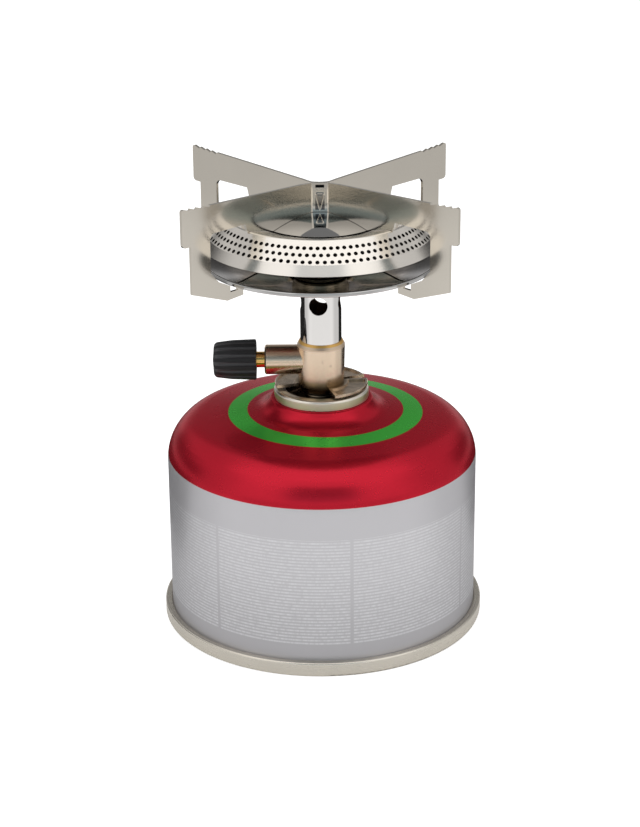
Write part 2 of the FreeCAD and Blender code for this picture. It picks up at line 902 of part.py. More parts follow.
def make_jet():
    """Brass nozzle with a hexagon, screwed into the valve body under the mixing tube."""
    body = new_body("jet")
    bottom = at.jet_floor + at.jet_base_gap
    tip_bore = at.jet_tip_top - at.jet_orifice_length
    hexagon = new_sketch(body, "Hexagon", "XY_Plane", lift=at.jet_hex_bottom)
    draw_outline(hexagon, [
        turned(at.jet_hex_size, ZERO, 360.0 / HEXAGON * k) for k in range(HEXAGON)
    ])
    pad(body, hexagon, at.jet_hex_top - at.jet_hex_bottom, "Hexagon_pad")
    revolve(body, [
        (0, bottom),
        (at.jet_radius, bottom),
        (at.jet_radius, at.jet_hex_bottom),
        (at.jet_tip_radius, at.jet_hex_bottom),
        (at.jet_tip_radius, at.jet_tip_top - at.jet_tip_taper),
        (at.jet_tip_end_radius, at.jet_tip_top),
        (0, at.jet_tip_top),
    ], "Nozzle")
    revolve(body, [
        (0, bottom - at.jet_base_gap),
        (at.jet_bore, bottom - at.jet_base_gap),
        (at.jet_bore, tip_bore),
        (at.jet_orifice, tip_bore),
        (at.jet_orifice, at.jet_tip_top + at.jet_base_gap),
        (0, at.jet_tip_top + at.jet_base_gap),
    ], "Bore", cut=True)
    return body


# Needle, its seal and the knob, modelled about their own X axis and lifted to the arm

groove_middle = at.seal_reach + at.seal_groove * 0.5
groove_radius = at.spindle_radius - at.seal_wire - at.seal_play + at.spindle_play


def make_spindle():
    """Needle spindle: cone against the seat, shoulder, seal groove and tang for the knob."""
    body = new_body("spindle")
    slope = (at.needle_radius - at.needle_tip_radius) / at.needle_length
    reach = at.seat_reach - (at.seat_radius - at.seal_play - at.needle_tip_radius) / slope
    revolve(body, [
        (-reach, 0),
        (-reach, at.needle_tip_radius),
        (-reach - at.needle_length, at.needle_radius),
        (-at.spindle_shoulder, at.needle_radius),
        (-at.spindle_shoulder, at.spindle_radius),
        (-at.seal_reach, at.spindle_radius),
        (-at.seal_reach, groove_radius),
        (-at.seal_reach - at.seal_groove, groove_radius),
        (-at.seal_reach - at.seal_groove, at.spindle_radius),
        (-at.knob_start - at.knob_hub_recess, at.spindle_radius),
        (-at.knob_start - at.knob_hub_recess, at.spindle_tang_radius),
        (-at.spindle_end, at.spindle_tang_radius),
        (-at.spindle_end, 0),
    ], about="H_Axis")
    body.setExpression("Placement.Base.z", at.arm_height.formula)
    return body


def make_spindle_seal():
    ring = doc.addObject("Part::Torus", "spindle_seal")
    ring.Label = "spindle_seal"
    middle = groove_radius + (at.seal_wire + at.seal_play) * 0.5
    ring.setExpression("Radius1", middle.formula)
    ring.setExpression("Radius2", ((at.seal_wire - at.seal_play) * 0.5).formula)
    ring.Placement.Rotation = FreeCAD.Rotation(FreeCAD.Vector(0, 1, 0), 90)
    ring.setExpression("Placement.Base.x", (-groove_middle).formula)
    ring.setExpression("Placement.Base.z", at.arm_height.formula)
    return ring


def make_knob():
    """Fluted knob, widest at the valve and tapering to a rounded end."""
    body = new_body("knob")
    hub = at.knob_start + at.knob_hub_recess
    revolve(body, [
        (-at.spindle_end, 0),
        (-at.spindle_end, at.spindle_tang_radius),
        (-hub, at.spindle_tang_radius),
        (-hub, at.knob_hub_radius),
        (-at.knob_start, at.knob_hub_radius),
        (-at.knob_start, at.knob_radius, at.knob_face_round),
        (-at.knob_mid_reach, at.knob_mid_radius, at.knob_mid_round),
        (-at.knob_end + at.knob_face_dome, at.knob_end_radius, at.knob_round),
        (-at.knob_end, 0),
    ], about="H_Axis")
    flute = new_sketch(body, "Flute", "YZ_Plane")
    half_pitch = Size.of(180.0) / at.flute_count
    across, up = turned(at.flute_centre, ZERO, 90.0 + half_pitch)
    draw_circle(flute, across, up, at.flute_radius)
    cut = body.newObject("PartDesign::Pocket", "Flute_cut")
    cut.Profile = flute
    cut.setExpression("Length", at.knob_end.formula)
    body.Tip = cut
    repeat_round(body, [cut], flute, "N_Axis", at.flute_count, "Flutes")
    body.setExpression("Placement.Base.z", at.arm_height.formula)
    return body


# Tube, collar and drip dish

dish_hub_top = at.dish_hub_bottom + at.dish_sheet


def make_mixing_tube():
    """Plated tube with four air holes, flared over the pan at its upper end."""
    body = new_body("mixing_tube")
    inside = at.tube_radius - at.tube_wall
    seat = at.pan_bottom + at.pan_sheet
    revolve(body, [
        (inside, at.tube_seat_height),
        (at.tube_radius, at.tube_seat_height),
        (at.tube_radius, seat),
        (at.tube_flare_radius, seat),
        (at.tube_flare_radius, seat + at.tube_wall),
        (inside, seat + at.tube_wall),
    ])
    hole = new_sketch(body, "AirHole", "XZ_Plane", turn=at.air_hole_turn)
    draw_circle(hole, 0, at.air_hole_height, at.air_hole_radius)
    cut = pocket(body, hole, "AirHole_cut", at.tube_radius + at.tube_wall)
    repeat_round(body, [cut], hole, "V_Axis", at.air_hole_count, "AirHoles")
    return body


def make_burner_collar():
    """Ribbed boss between the dish and the burner head."""
    body = new_body("burner_collar")
    pitch = (at.pan_bottom - dish_hub_top) / at.collar_rib_count
    groove = pitch * at.collar_groove_share
    floor = groove * at.collar_floor_share
    root_radius = at.collar_radius - at.collar_groove_depth
    inside = at.tube_radius + at.collar_play
    corners = [(inside, dish_hub_top), (at.collar_radius, dish_hub_top)]
    for k in range(1, int(at.collar_rib_count.value)):
        level = dish_hub_top + pitch * k
        corners.append((at.collar_radius, level - groove * 0.5))
        corners.append((root_radius, level - floor * 0.5))
        corners.append((root_radius, level + floor * 0.5))
        corners.append((at.collar_radius, level + groove * 0.5))
    corners.append((at.collar_radius, at.pan_bottom))
    corners.append((inside, at.pan_bottom))
    revolve(body, corners)
    return body


arm_offset = (at.fold_corner - (at.support_gap + at.support_sheet) * 0.5) * sine(at.arm_angle)


def make_drip_dish():
    """Shallow polished dish with a rolled lip and a slot for each support arm."""
    body = new_body("drip_dish")
    lip_inner = at.dish_lip_radius - at.dish_lip_width
    inside = at.tube_radius + at.collar_play
    under = [
        (lip_inner, at.dish_lip_bottom),
        (at.dish_middle_radius, at.dish_middle_height),
        (at.dish_hub_radius, at.dish_hub_bottom),
        (inside, at.dish_hub_bottom),
    ]
    over = offset_corners(under, at.dish_sheet)
    middle_round = (None, at.dish_round, at.dish_hub_round, None)
    corners = [
        (at.dish_lip_radius, at.dish_lip_bottom, at.dish_lip_foot_round),
        (at.dish_lip_radius, at.dish_lip_top, at.dish_lip_round),
        (lip_inner, at.dish_lip_top, at.dish_lip_round),
    ]
    for (x, y), radius in list(zip(over, middle_round)):
        corners.append((x, y, radius) if radius is not None else (x, y))
    for (x, y), radius in reversed(list(zip(under, middle_round))):
        corners.append((x, y, radius) if radius is not None else (x, y))
    corners[3] = (lip_inner, over[0][1])
    revolve(body, corners)
    slots = new_sketch(body, "Slots", "XY_Plane", lift=at.dish_lip_top)
    half = at.support_sheet * 0.5 + at.dish_slot_play
    for side in (1, -1):
        near = at.dish_slot_start * side
        past = at.dish_slot_end * side
        for turn in (-1, 1):
            across = arm_offset * (-side * turn)
            angle = at.arm_angle * turn
            draw_outline(slots, [
                turned(near, across - half, angle),
                turned(past, across - half, angle),
                turned(past, across + half, angle),
                turned(near, across + half, angle),
            ])
    pocket(body, slots, "Slots_cut", at.dish_lip_top - at.dish_hub_bottom)
    return body


# Burner head

def make_burner_pan():
    """Lower half of the burner head, clamped under the tube's flare."""
    body = new_body("burner_pan")
    inside = at.tube_radius + at.collar_play
    rim_lean = (at.cap_radius - at.cap_rim_radius) / (at.cap_rim_top - at.cap_bottom)
    edge = at.cap_radius - at.cap_sheet - at.pan_edge_play - rim_lean * at.pan_sheet
    rise = edge - (at.cap_bottom - at.pan_bottom)
    revolve(body, [
        (inside, at.pan_bottom),
        (at.pan_corner_radius, at.pan_bottom, at.pan_round),
        (rise, at.cap_bottom - at.pan_sheet),
        (edge, at.cap_bottom),
        (edge, at.cap_bottom + at.pan_sheet),
        (rise, at.cap_bottom),
        (at.pan_corner_radius - at.pan_sheet, at.pan_bottom + at.pan_sheet, at.pan_round),
        (inside, at.pan_bottom + at.pan_sheet),
    ])
    return body


def make_burner_cap():
    """Stamped cap: leaning rim, perforated cone, crest, ring and the floor under the disc."""
    body = new_body("BurnerCapBlank")
    outside = [
        (at.cap_radius, at.cap_bottom),
        (at.cap_rim_radius, at.cap_rim_top),
        (at.cap_crest_radius, at.cap_crest_height),
        (at.cap_ring_inner_radius, at.cap_ring_inner_height),
        (at.cap_ring_inner_radius, at.cap_floor),
        (0, at.cap_floor),
    ]
    flat_under = at.cap_floor - at.cap_sheet
    inner = offset_corners(outside[:4], -at.cap_sheet)
    step = at.cap_ring_inner_radius + at.cap_sheet
    corners = [
        outside[0],
        (*outside[1], at.cap_crest_round),
        (*outside[2], at.cap_crest_round),
        outside[3],
        outside[4],
        outside[5],
        (0, flat_under),
        (step, flat_under),
        (step, inner[3][1] + at.cap_sheet * (inner[2][1] - inner[3][1]) / (inner[2][0] - inner[3][0])),
        (*inner[2], at.cap_crest_round - at.cap_sheet),
        (*inner[1], at.cap_crest_round - at.cap_sheet),
        (inner[0][0], at.cap_bottom),
    ]
    revolve(body, corners)
    holes = doc.addObject("Part::Feature", "FlameHoles")
    holes.Shape = flame_hole_tools()
    cap = doc.addObject("Part::Cut", "burner_cap")
    cap.Label = "burner_cap"
    cap.Base = body
    cap.Tool = holes
    return cap


def flame_hole_tools():
    """Three rows of flame holes, square to the cone; the middle row is half a step on."""
    count = int(at.flame_hole_count.value)
    step = 360.0 / count
    rise = (at.cap_crest_height - at.cap_rim_top).value
    run = (at.cap_rim_radius - at.cap_crest_radius).value
    slant = math.hypot(rise, run)
    depth = at.cap_sheet.value * 2
    drill = at.flame_hole_radius.value
    tools = []
    for row in (-1, 0, 1):
        radius = at.flame_row_middle.value + row * at.flame_row_step.value * run / slant
        height = at.cap_rim_top.value + (at.cap_rim_radius.value - radius) * rise / run
        phase = at.flame_turn.value + (step * 0.5 if row == 0 else 0.0)
        for k in range(count):
            angle = math.radians(phase + step * k)
            outward = FreeCAD.Vector(math.cos(angle), math.sin(angle), 0)
            along = outward * (rise / slant) + FreeCAD.Vector(0, 0, run / slant)
            spot = outward * radius + FreeCAD.Vector(0, 0, height)
            tools.append(Part.makeCylinder(drill, 2 * depth, spot - along * depth, along))
    return Part.makeCompound(tools)


disc_rise = at.disc_centre_height - at.disc_edge_height
disc_round = at.disc_radius * at.disc_radius / disc_rise * at.disc_round_share


def make_burner_disc():
    """Polished disc, a shallow dome with its edge turned down onto the cap's floor."""
    body = new_body("burner_disc")
    inner = at.disc_radius - at.disc_sheet
    revolve(body, [
        (0, at.disc_centre_height),
        (at.disc_radius * 0.5, at.disc_centre_height, disc_round),
        (at.disc_radius, at.disc_edge_height),
        (at.disc_radius, at.cap_floor),
        (inner, at.cap_floor),
        (inner, at.disc_edge_height - at.disc_sheet),
        (at.disc_radius * 0.5, at.disc_centre_height - at.disc_sheet, disc_round - at.disc_sheet),
        (0, at.disc_centre_height - at.disc_sheet),
    ])
    return body


# Pot supports

def dish_face(reach, inner, outer):
    """Height of the dish's upper face at a distance from the axis, on the straight between two corners."""
    lean = (outer[1] - inner[1]) / (outer[0] - inner[0])
    return inner[1] + (reach - inner[0]) * lean + at.dish_sheet * root(1 + lean * lean)


def arm_corners():
    """Outline of one support arm: distance along the arm, then height."""
    play = at.support_contact_play
    gap = at.bar_floor_gap
    hub = (at.dish_hub_radius, at.dish_hub_bottom)
    middle = (at.dish_middle_radius, at.dish_middle_height)
    rim = (at.dish_lip_radius - at.dish_lip_width, at.dish_lip_bottom)
    corners = [
        (0, at.disc_centre_height + play),
        (at.disc_radius * 0.5, at.disc_centre_height + play, disc_round),
        (at.disc_radius, at.disc_edge_height + play),
        (at.cap_crest_radius, at.cap_crest_height + play),
        (at.window_step - at.window_step_lean, at.cap_crest_height + play),
        (at.window_step, at.window_top),
        (at.window_outer, at.window_top, at.window_round),
        (at.window_outer, at.window_outer_bottom),
        (at.window_chamfer_reach, at.window_chamfer_height),
        (at.notch_outer, at.notch_outer_height),
        (at.notch_outer, at.notch_floor),
        (at.notch_inner, at.notch_floor),
        (at.notch_inner, at.notch_inner_top),
        (at.bar_rise_reach, at.notch_inner_top),
        (at.bar_bend_reach, at.bar_bend_height),
        (at.bar_inner_reach, at.bar_inner_top),
        (at.bar_inner_reach, dish_face(at.bar_inner_reach, hub, middle) + gap),
        (at.dish_middle_radius, dish_face(at.dish_middle_radius, middle, rim) + gap, at.dish_round),
        (at.foot_inner_reach, dish_face(at.foot_inner_reach, middle, rim) + gap),
        (at.foot_inner_reach, at.foot_inner_height),
        (at.foot_tip_reach, at.foot_tip_height),
        (at.leg_reach, at.foot_outer_height),
        (at.leg_reach, at.leg_top),
        (at.ear_reach, at.ear_bottom, at.ear_foot_round),
        (at.ear_reach, at.ear_top, at.ear_round),
    ]
    step = (at.ear_top - at.arm_top_outer) / at.tooth_count
    count = int(at.tooth_count.value)
    for k in range(count, 0, -1):
        reach = at.tooth_start + at.tooth_pitch * k
        height = at.arm_top_outer + step * k
        corners.append((reach, height))
        corners.append((reach - at.tooth_pitch * at.tooth_root_share, height - at.tooth_depth))
    corners.append((at.tooth_start, at.arm_top_outer))
    corners.append((at.arm_top_start, at.arm_top_inner))
    corners.append((0, at.centre_top))
    return corners


def cut_centre_slot(band):
    """Narrow slot under the top edge of the front sheet's flat."""
    slot = new_sketch(band, "CentreSlot", "XZ_Plane")
    half = at.centre_slot_width * 0.5
    top = at.centre_top - at.centre_slot_drop
    draw_outline(slot, [
        (-half, top - at.centre_slot_height),
        (half, top - at.centre_slot_height),
        (half, top),
        (-half, top),
    ])
    cut = pocket(band, slot, "CentreSlot_cut")
    cut.Reversed = True


def make_support(name, side):
    """One folded sheet: two arms of the X and the flat between them; side is -1 for the front."""
    band = new_body(f"{name}_band")
    plan = new_sketch(band, f"{name}_plan", "XY_Plane", lift=at.foot_tip_height)
    far = at.ear_reach + at.support_sheet
    close_y = at.support_gap * 0.5
    far_y = close_y + at.support_sheet
    bulge = at.support_sheet * 0.5 * tangent(at.arm_angle * 0.5)
    near_x = at.fold_corner - bulge
    past_x = at.fold_corner + bulge
    run = far * cosine(at.arm_angle)
    rise = far * sine(at.arm_angle)
    draw_outline(plan, [
        (past_x, side * close_y, at.fold_round + at.support_sheet),
        (past_x + run, side * (close_y + rise)),
        (near_x + run, side * (far_y + rise)),
        (near_x, side * far_y, at.fold_round),
        (-near_x, side * far_y, at.fold_round),
        (-near_x - run, side * (far_y + rise)),
        (-past_x - run, side * (close_y + rise)),
        (-past_x, side * close_y, at.fold_round + at.support_sheet),
    ])
    pad(band, plan, at.ear_top - at.foot_tip_height, f"{name}_pad")
    if side < 0:
        cut_centre_slot(band)
    arms = []
    for arm, angle in (("right", at.arm_angle), ("left", 180.0 - at.arm_angle)):
        plate = new_body(f"{name}_plate_{arm}")
        face = new_sketch(plate, f"{name}_face_{arm}", "XZ_Plane", turn=angle * side)
        draw_outline(face, arm_corners())
        thick = pad(plate, face, at.arm_plate_depth, f"{name}_thick_{arm}")
        thick.SideType = "Symmetric"
        arms.append(plate)
    both = doc.addObject("Part::MultiFuse", f"{name}_arms")
    both.Shapes = arms
    support = doc.addObject("Part::Common", name)
    support.Label = name
    support.Base = band
    support.Tool = both
    return support


def check_document():
    """Stops on anything that failed to build, without writing a file."""
    faults = [o.Label for o in doc.Objects if "Invalid" in o.State or "Error" in o.State]
    if faults:
        raise RuntimeError(f"failed to build: {faults}")


def write_part(node):
    shape = node.Shape
    if shape.isNull() or not shape.isValid() or not shape.Solids:
        raise RuntimeError(f"{node.Label} has no sound shape")
    shape.exportStep(f"parts/{node.Label}.step")
    print(f"{node.Label:18s} solids {len(shape.Solids)} volume {shape.Volume:10.2f}")


nodes = [
    make_canister_shell(),
    make_canister_base(),
    make_valve_cup(),
    make_cup_gasket(),
    make_stem_gasket(),
    make_valve_housing(),
    make_valve_plunger(),
    make_valve_spring(),
    make_valve_body(),
    make_canister_seal(),
    make_actuator_pin(),
    make_inlet_filter(),
    make_jet(),
    make_spindle(),
    make_spindle_seal(),
    make_knob(),
    make_mixing_tube(),
    make_burner_collar(),
    make_drip_dish(),
    make_burner_pan(),
    make_burner_cap(),
    make_burner_disc(),
    make_support("support_front", -1),
    make_support("support_back", 1),
]
doc.recompute()
check_document()
os.makedirs("parts", exist_ok=True)
for part_node in nodes:
    write_part(part_node)
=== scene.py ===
"""Camping gas stove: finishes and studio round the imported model."""

import json
import math

import bpy
from mathutils import Matrix, Vector


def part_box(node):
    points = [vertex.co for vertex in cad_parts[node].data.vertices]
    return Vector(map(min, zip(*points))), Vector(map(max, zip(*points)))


bl_info = {
    "name": "Camping Stove",
    "version": (1, 0, 0),
    "blender": (4, 5, 0),
    "location": "View3D > Sidebar > Stove",
    "description": "Finishes and details for a screw-on camping stove on its gas canister",
    "category": "Object",
}

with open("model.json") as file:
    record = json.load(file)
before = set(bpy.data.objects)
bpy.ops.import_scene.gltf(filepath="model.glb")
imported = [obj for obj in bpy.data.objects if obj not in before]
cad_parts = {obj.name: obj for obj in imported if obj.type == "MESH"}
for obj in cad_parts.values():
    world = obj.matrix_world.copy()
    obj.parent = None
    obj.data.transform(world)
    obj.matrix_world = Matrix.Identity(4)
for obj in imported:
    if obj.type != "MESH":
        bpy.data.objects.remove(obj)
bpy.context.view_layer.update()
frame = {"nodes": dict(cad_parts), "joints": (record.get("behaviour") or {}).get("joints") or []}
NODES = frame["nodes"]
MM = 0.001


# Sizes and colours that a user would change

class CanisterLooks(bpy.types.PropertyGroup):
    """Paint and print of the gas canister."""

    red: bpy.props.FloatVectorProperty(
        name="Red", description="Gloss lacquer of the shoulder",
        subtype="COLOR", size=3, default=(0.58, 0.017, 0.036),
    )
    grey: bpy.props.FloatVectorProperty(
        name="Grey", description="Satin lacquer of the wall",
        subtype="COLOR", size=3, default=(0.61, 0.60, 0.62),
    )
    green: bpy.props.FloatVectorProperty(
        name="Green", description="Ring printed on the dome",
        subtype="COLOR", size=3, default=(0.095, 0.70, 0.090),
    )
    pale: bpy.props.FloatVectorProperty(
        name="Pale print", description="Fine ruled lines on the wall",
        subtype="COLOR", size=3, default=(0.80, 0.80, 0.82),
    )
    border: bpy.props.FloatProperty(
        name="Border", description="Height where grey meets red", unit="LENGTH", default=59.0 * MM
    )
    ring_inner: bpy.props.FloatProperty(
        name="Ring inside", description="Inner radius of the green ring", unit="LENGTH", default=26.5 * MM
    )
    ring_outer: bpy.props.FloatProperty(
        name="Ring outside", description="Outer radius of the green ring", unit="LENGTH", default=33.0 * MM
    )
    ring_aside: bpy.props.FloatProperty(
        name="Ring aside", description="How far the print sits off the axis", unit="LENGTH", default=1.3 * MM
    )
    print_edge: bpy.props.FloatProperty(
        name="Print edge", description="Half the width over which a print ends",
        unit="LENGTH", default=0.1 * MM,
    )
    rule_pitch: bpy.props.FloatProperty(
        name="Line pitch", description="Height from one ruled line to the next",
        unit="LENGTH", default=1.125 * MM,
    )
    rule_bottom: bpy.props.FloatProperty(
        name="Lines from", description="Height of the lowest ruled line", unit="LENGTH", default=10.5 * MM
    )
    rule_top: bpy.props.FloatProperty(
        name="Lines to", description="Height of the highest ruled line", unit="LENGTH", default=48.0 * MM
    )
    rule_columns: bpy.props.IntProperty(
        name="Columns", description="Columns of ruled lines round the wall", default=7
    )
    rule_start: bpy.props.FloatProperty(
        name="Column start", description="Gap between two columns, from the front",
        subtype="ANGLE", default=math.radians(10.3),
    )


class MetalLooks(bpy.types.PropertyGroup):
    """Colours of the bare and plated metals."""

    steel: bpy.props.FloatVectorProperty(
        name="Steel", description="Rolled sheet of the supports",
        subtype="COLOR", size=3, default=(0.74, 0.69, 0.61),
    )
    mirror: bpy.props.FloatVectorProperty(
        name="Mirror", description="Polished dish and disc",
        subtype="COLOR", size=3, default=(0.60, 0.59, 0.58),
    )
    burner: bpy.props.FloatVectorProperty(
        name="Burner", description="Stamped sheet of the burner head",
        subtype="COLOR", size=3, default=(0.93, 0.88, 0.81),
    )
    nickel: bpy.props.FloatVectorProperty(
        name="Nickel", description="Plating of the valve body",
        subtype="COLOR", size=3, default=(0.87, 0.70, 0.53),
    )
    plating: bpy.props.FloatVectorProperty(
        name="Plating", description="Bright plating of the tube",
        subtype="COLOR", size=3, default=(0.80, 0.78, 0.76),
    )
    brass: bpy.props.FloatVectorProperty(
        name="Brass", description="Turned brass",
        subtype="COLOR", size=3, default=(0.92, 0.57, 0.18),
    )
    tin: bpy.props.FloatVectorProperty(
        name="Tinplate", description="Bare tinplate of the seam and cup",
        subtype="COLOR", size=3, default=(0.78, 0.73, 0.64),
    )


class WearLooks(bpy.types.PropertyGroup):
    """Colours that heat, soot and handling leave, those of the dark pieces, and painted shade and light."""

    soot: bpy.props.FloatVectorProperty(
        name="Soot", description="Inside of the burner head",
        subtype="COLOR", size=3, default=(0.05, 0.042, 0.036),
    )
    pan: bpy.props.FloatVectorProperty(
        name="Pan", description="Scorched underside of the burner head",
        subtype="COLOR", size=3, default=(0.16, 0.14, 0.12),
    )
    bowl_dark: bpy.props.FloatVectorProperty(
        name="Bowl, dark", description="Darker blotches in the dish's bowl",
        subtype="COLOR", size=3, default=(0.26, 0.22, 0.195),
    )
    bowl_light: bpy.props.FloatVectorProperty(
        name="Bowl, light", description="Lighter blotches in the dish's bowl",
        subtype="COLOR", size=3, default=(0.56, 0.50, 0.45),
    )
    # Painted shade: the bowl's outer part is painted near-black, standing in for the dark things it mirrors.
    bowl_rim: bpy.props.FloatVectorProperty(
        name="Bowl, outside", description="Burnt outer part of the dish's bowl",
        subtype="COLOR", size=3, default=(0.060, 0.050, 0.045),
    )
    # Painted shade: the dish's underside, its faces turned down, is painted darker brown.
    below: bpy.props.FloatVectorProperty(
        name="Dish below", description="Underside of the dish",
        subtype="COLOR", size=3, default=(0.24, 0.19, 0.165),
    )
    bore: bpy.props.FloatVectorProperty(
        name="Bore", description="Bare inside of the tube",
        subtype="COLOR", size=3, default=(0.17, 0.10, 0.07),
    )
    # Painted shade: the body's foot is painted dark brown where it stands in shadow above the cup.
    foot: bpy.props.FloatVectorProperty(
        name="Valve foot", description="Worn foot of the valve body",
        subtype="COLOR", size=3, default=(0.28, 0.20, 0.115),
    )
    # Painted shade: the cup's inside, within the curl, is painted dark.
    cup: bpy.props.FloatVectorProperty(
        name="Cup inside", description="Dull inside of the valve cup",
        subtype="COLOR", size=3, default=(0.17, 0.135, 0.095),
    )
    # Painted light: the two rib colours are painted far lighter than the black collar, to show its ribs lit
    # in the shade under the cap.
    rib_dark: bpy.props.FloatVectorProperty(
        name="Ribs, dark", description="Oil on the collar's ribs",
        subtype="COLOR", size=3, default=(0.34, 0.30, 0.22),
    )
    rib_light: bpy.props.FloatVectorProperty(
        name="Ribs, light", description="Bronze that shows on the collar's ribs",
        subtype="COLOR", size=3, default=(0.70, 0.62, 0.47),
    )
    # Painted shade: near-black between the ribs.
    groove: bpy.props.FloatVectorProperty(
        name="Grooves", description="Oil between the collar's ribs",
        subtype="COLOR", size=3, default=(0.025, 0.022, 0.018),
    )
    # Painted shade: this colour darkens the flat beside the pressed ridges.
    crease: bpy.props.FloatVectorProperty(
        name="Crease", description="Shadow beside the pressed ridges of the front support",
        subtype="COLOR", size=3, default=(0.05, 0.05, 0.055),
    )
    # Painted shade: the slot's inside is painted near-black in place of its shadow.
    slot: bpy.props.FloatVectorProperty(
        name="Slot", description="Inside of the slot in the front support",
        subtype="COLOR", size=3, default=(0.02, 0.02, 0.02),
    )
    plastic: bpy.props.FloatVectorProperty(
        name="Knob", description="Black plastic of the knob",
        subtype="COLOR", size=3, default=(0.034, 0.034, 0.036),
    )
    plastic_rubbed: bpy.props.FloatVectorProperty(
        name="Knob, rubbed", description="Handled places on the knob",
        subtype="COLOR", size=3, default=(0.046, 0.046, 0.049),
    )
    # Painted shade: the knob's flutes are painted near-black.
    flute: bpy.props.FloatVectorProperty(
        name="Flutes", description="Flutes of the knob",
        subtype="COLOR", size=3, default=(0.006, 0.006, 0.007),
    )
    rubber: bpy.props.FloatVectorProperty(
        name="Rubber", description="Seals",
        subtype="COLOR", size=3, default=(0.03, 0.03, 0.03),
    )
    natural: bpy.props.FloatVectorProperty(
        name="Natural plastic", description="Housing and plunger of the canister's valve",
        subtype="COLOR", size=3, default=(0.72, 0.71, 0.66),
    )
    spring: bpy.props.FloatVectorProperty(
        name="Spring", description="Wire of the canister's valve spring",
        subtype="COLOR", size=3, default=(0.5, 0.5, 0.52),
    )


class StudioLooks(bpy.types.PropertyGroup):
    """Camera and light."""

    distance: bpy.props.FloatProperty(
        name="Distance", description="From the axis to the camera, level", unit="LENGTH", default=699.5 * MM
    )
    rise: bpy.props.FloatProperty(
        name="Height", description="Height of the camera", unit="LENGTH", default=345.17 * MM
    )
    aside: bpy.props.FloatProperty(
        name="Aside", description="Sideways place of the camera", unit="LENGTH", default=-0.54 * MM
    )
    pitch: bpy.props.FloatProperty(
        name="Pitch", description="How far the camera looks down", subtype="ANGLE", default=0.3728
    )
    roll: bpy.props.FloatProperty(
        name="Roll", description="Turn of the camera about its line of sight",
        subtype="ANGLE", default=-0.0084,
    )
    lens: bpy.props.FloatProperty(
        name="Lens", description="Focal length in millimetres", default=96.14
    )
    room: bpy.props.FloatProperty(
        name="Room light", description="Strength of the pale room on the object", default=0.50
    )
    lamps: bpy.props.FloatProperty(
        name="Lamps", description="Power of each soft lamp", unit="POWER", default=5.0
    )
    roof: bpy.props.FloatProperty(
        name="Roof", description="Brightness of the soft roof in reflections", default=1.08
    )
    front: bpy.props.FloatProperty(
        name="Front", description="Brightness of the studio's front in reflections", default=0.92
    )
    sides: bpy.props.FloatProperty(
        name="Sides", description="Brightness of the studio's sides in reflections", default=0.56
    )
    wings: bpy.props.FloatProperty(
        name="Wings", description="Brightness of the dark wings beside the backdrop in reflections",
        default=0.04,
    )
    screen: bpy.props.FloatProperty(
        name="Screen", description="Brightness of the dark screen in front, in reflections", default=0.055
    )
    screen_tint: bpy.props.FloatVectorProperty(
        name="Screen tint", description="Colour of the dark screen in front, in reflections",
        subtype="COLOR", size=3, default=(0.66, 0.86, 1.0),
    )


# Shader maths

class Wire:
    """A shader socket that takes part in Python expressions."""

    def __init__(self, finish, socket):
        self.finish = finish
        self.socket = socket

    def __add__(self, other):
        return self.finish.maths("ADD", self, other)

    def __radd__(self, other):
        return self.finish.maths("ADD", other, self)

    def __sub__(self, other):
        return self.finish.maths("SUBTRACT", self, other)

    def __rsub__(self, other):
        return self.finish.maths("SUBTRACT", other, self)

    def __mul__(self, other):
        return self.finish.maths("MULTIPLY", self, other)

    def __rmul__(self, other):
        return self.finish.maths("MULTIPLY", other, self)

    def __truediv__(self, other):
        return self.finish.maths("DIVIDE", self, other)

    def __rtruediv__(self, other):
        return self.finish.maths("DIVIDE", other, self)

    def __neg__(self):
        return self * -1.0

    def root(self):
        return self.finish.maths("SQRT", self)

    def size(self):
        return self.finish.maths("ABSOLUTE", self)

    def fraction(self):
        return self.finish.maths("FRACT", self)

    def floor(self):
        return self.finish.maths("FLOOR", self)

    def rise(self, low, high):
        """0 below low, 1 above high, and a smooth step between."""
        return self.finish.node(
            "ShaderNodeMapRange", {"interpolation_type": "SMOOTHSTEP"},
            Value=self, **{"From Min": low, "From Max": high, "To Min": 0.0, "To Max": 1.0},
        )

    def fall(self, low, high):
        """1 below low, 0 above high, and a smooth step between."""
        return 1.0 - self.rise(low, high)


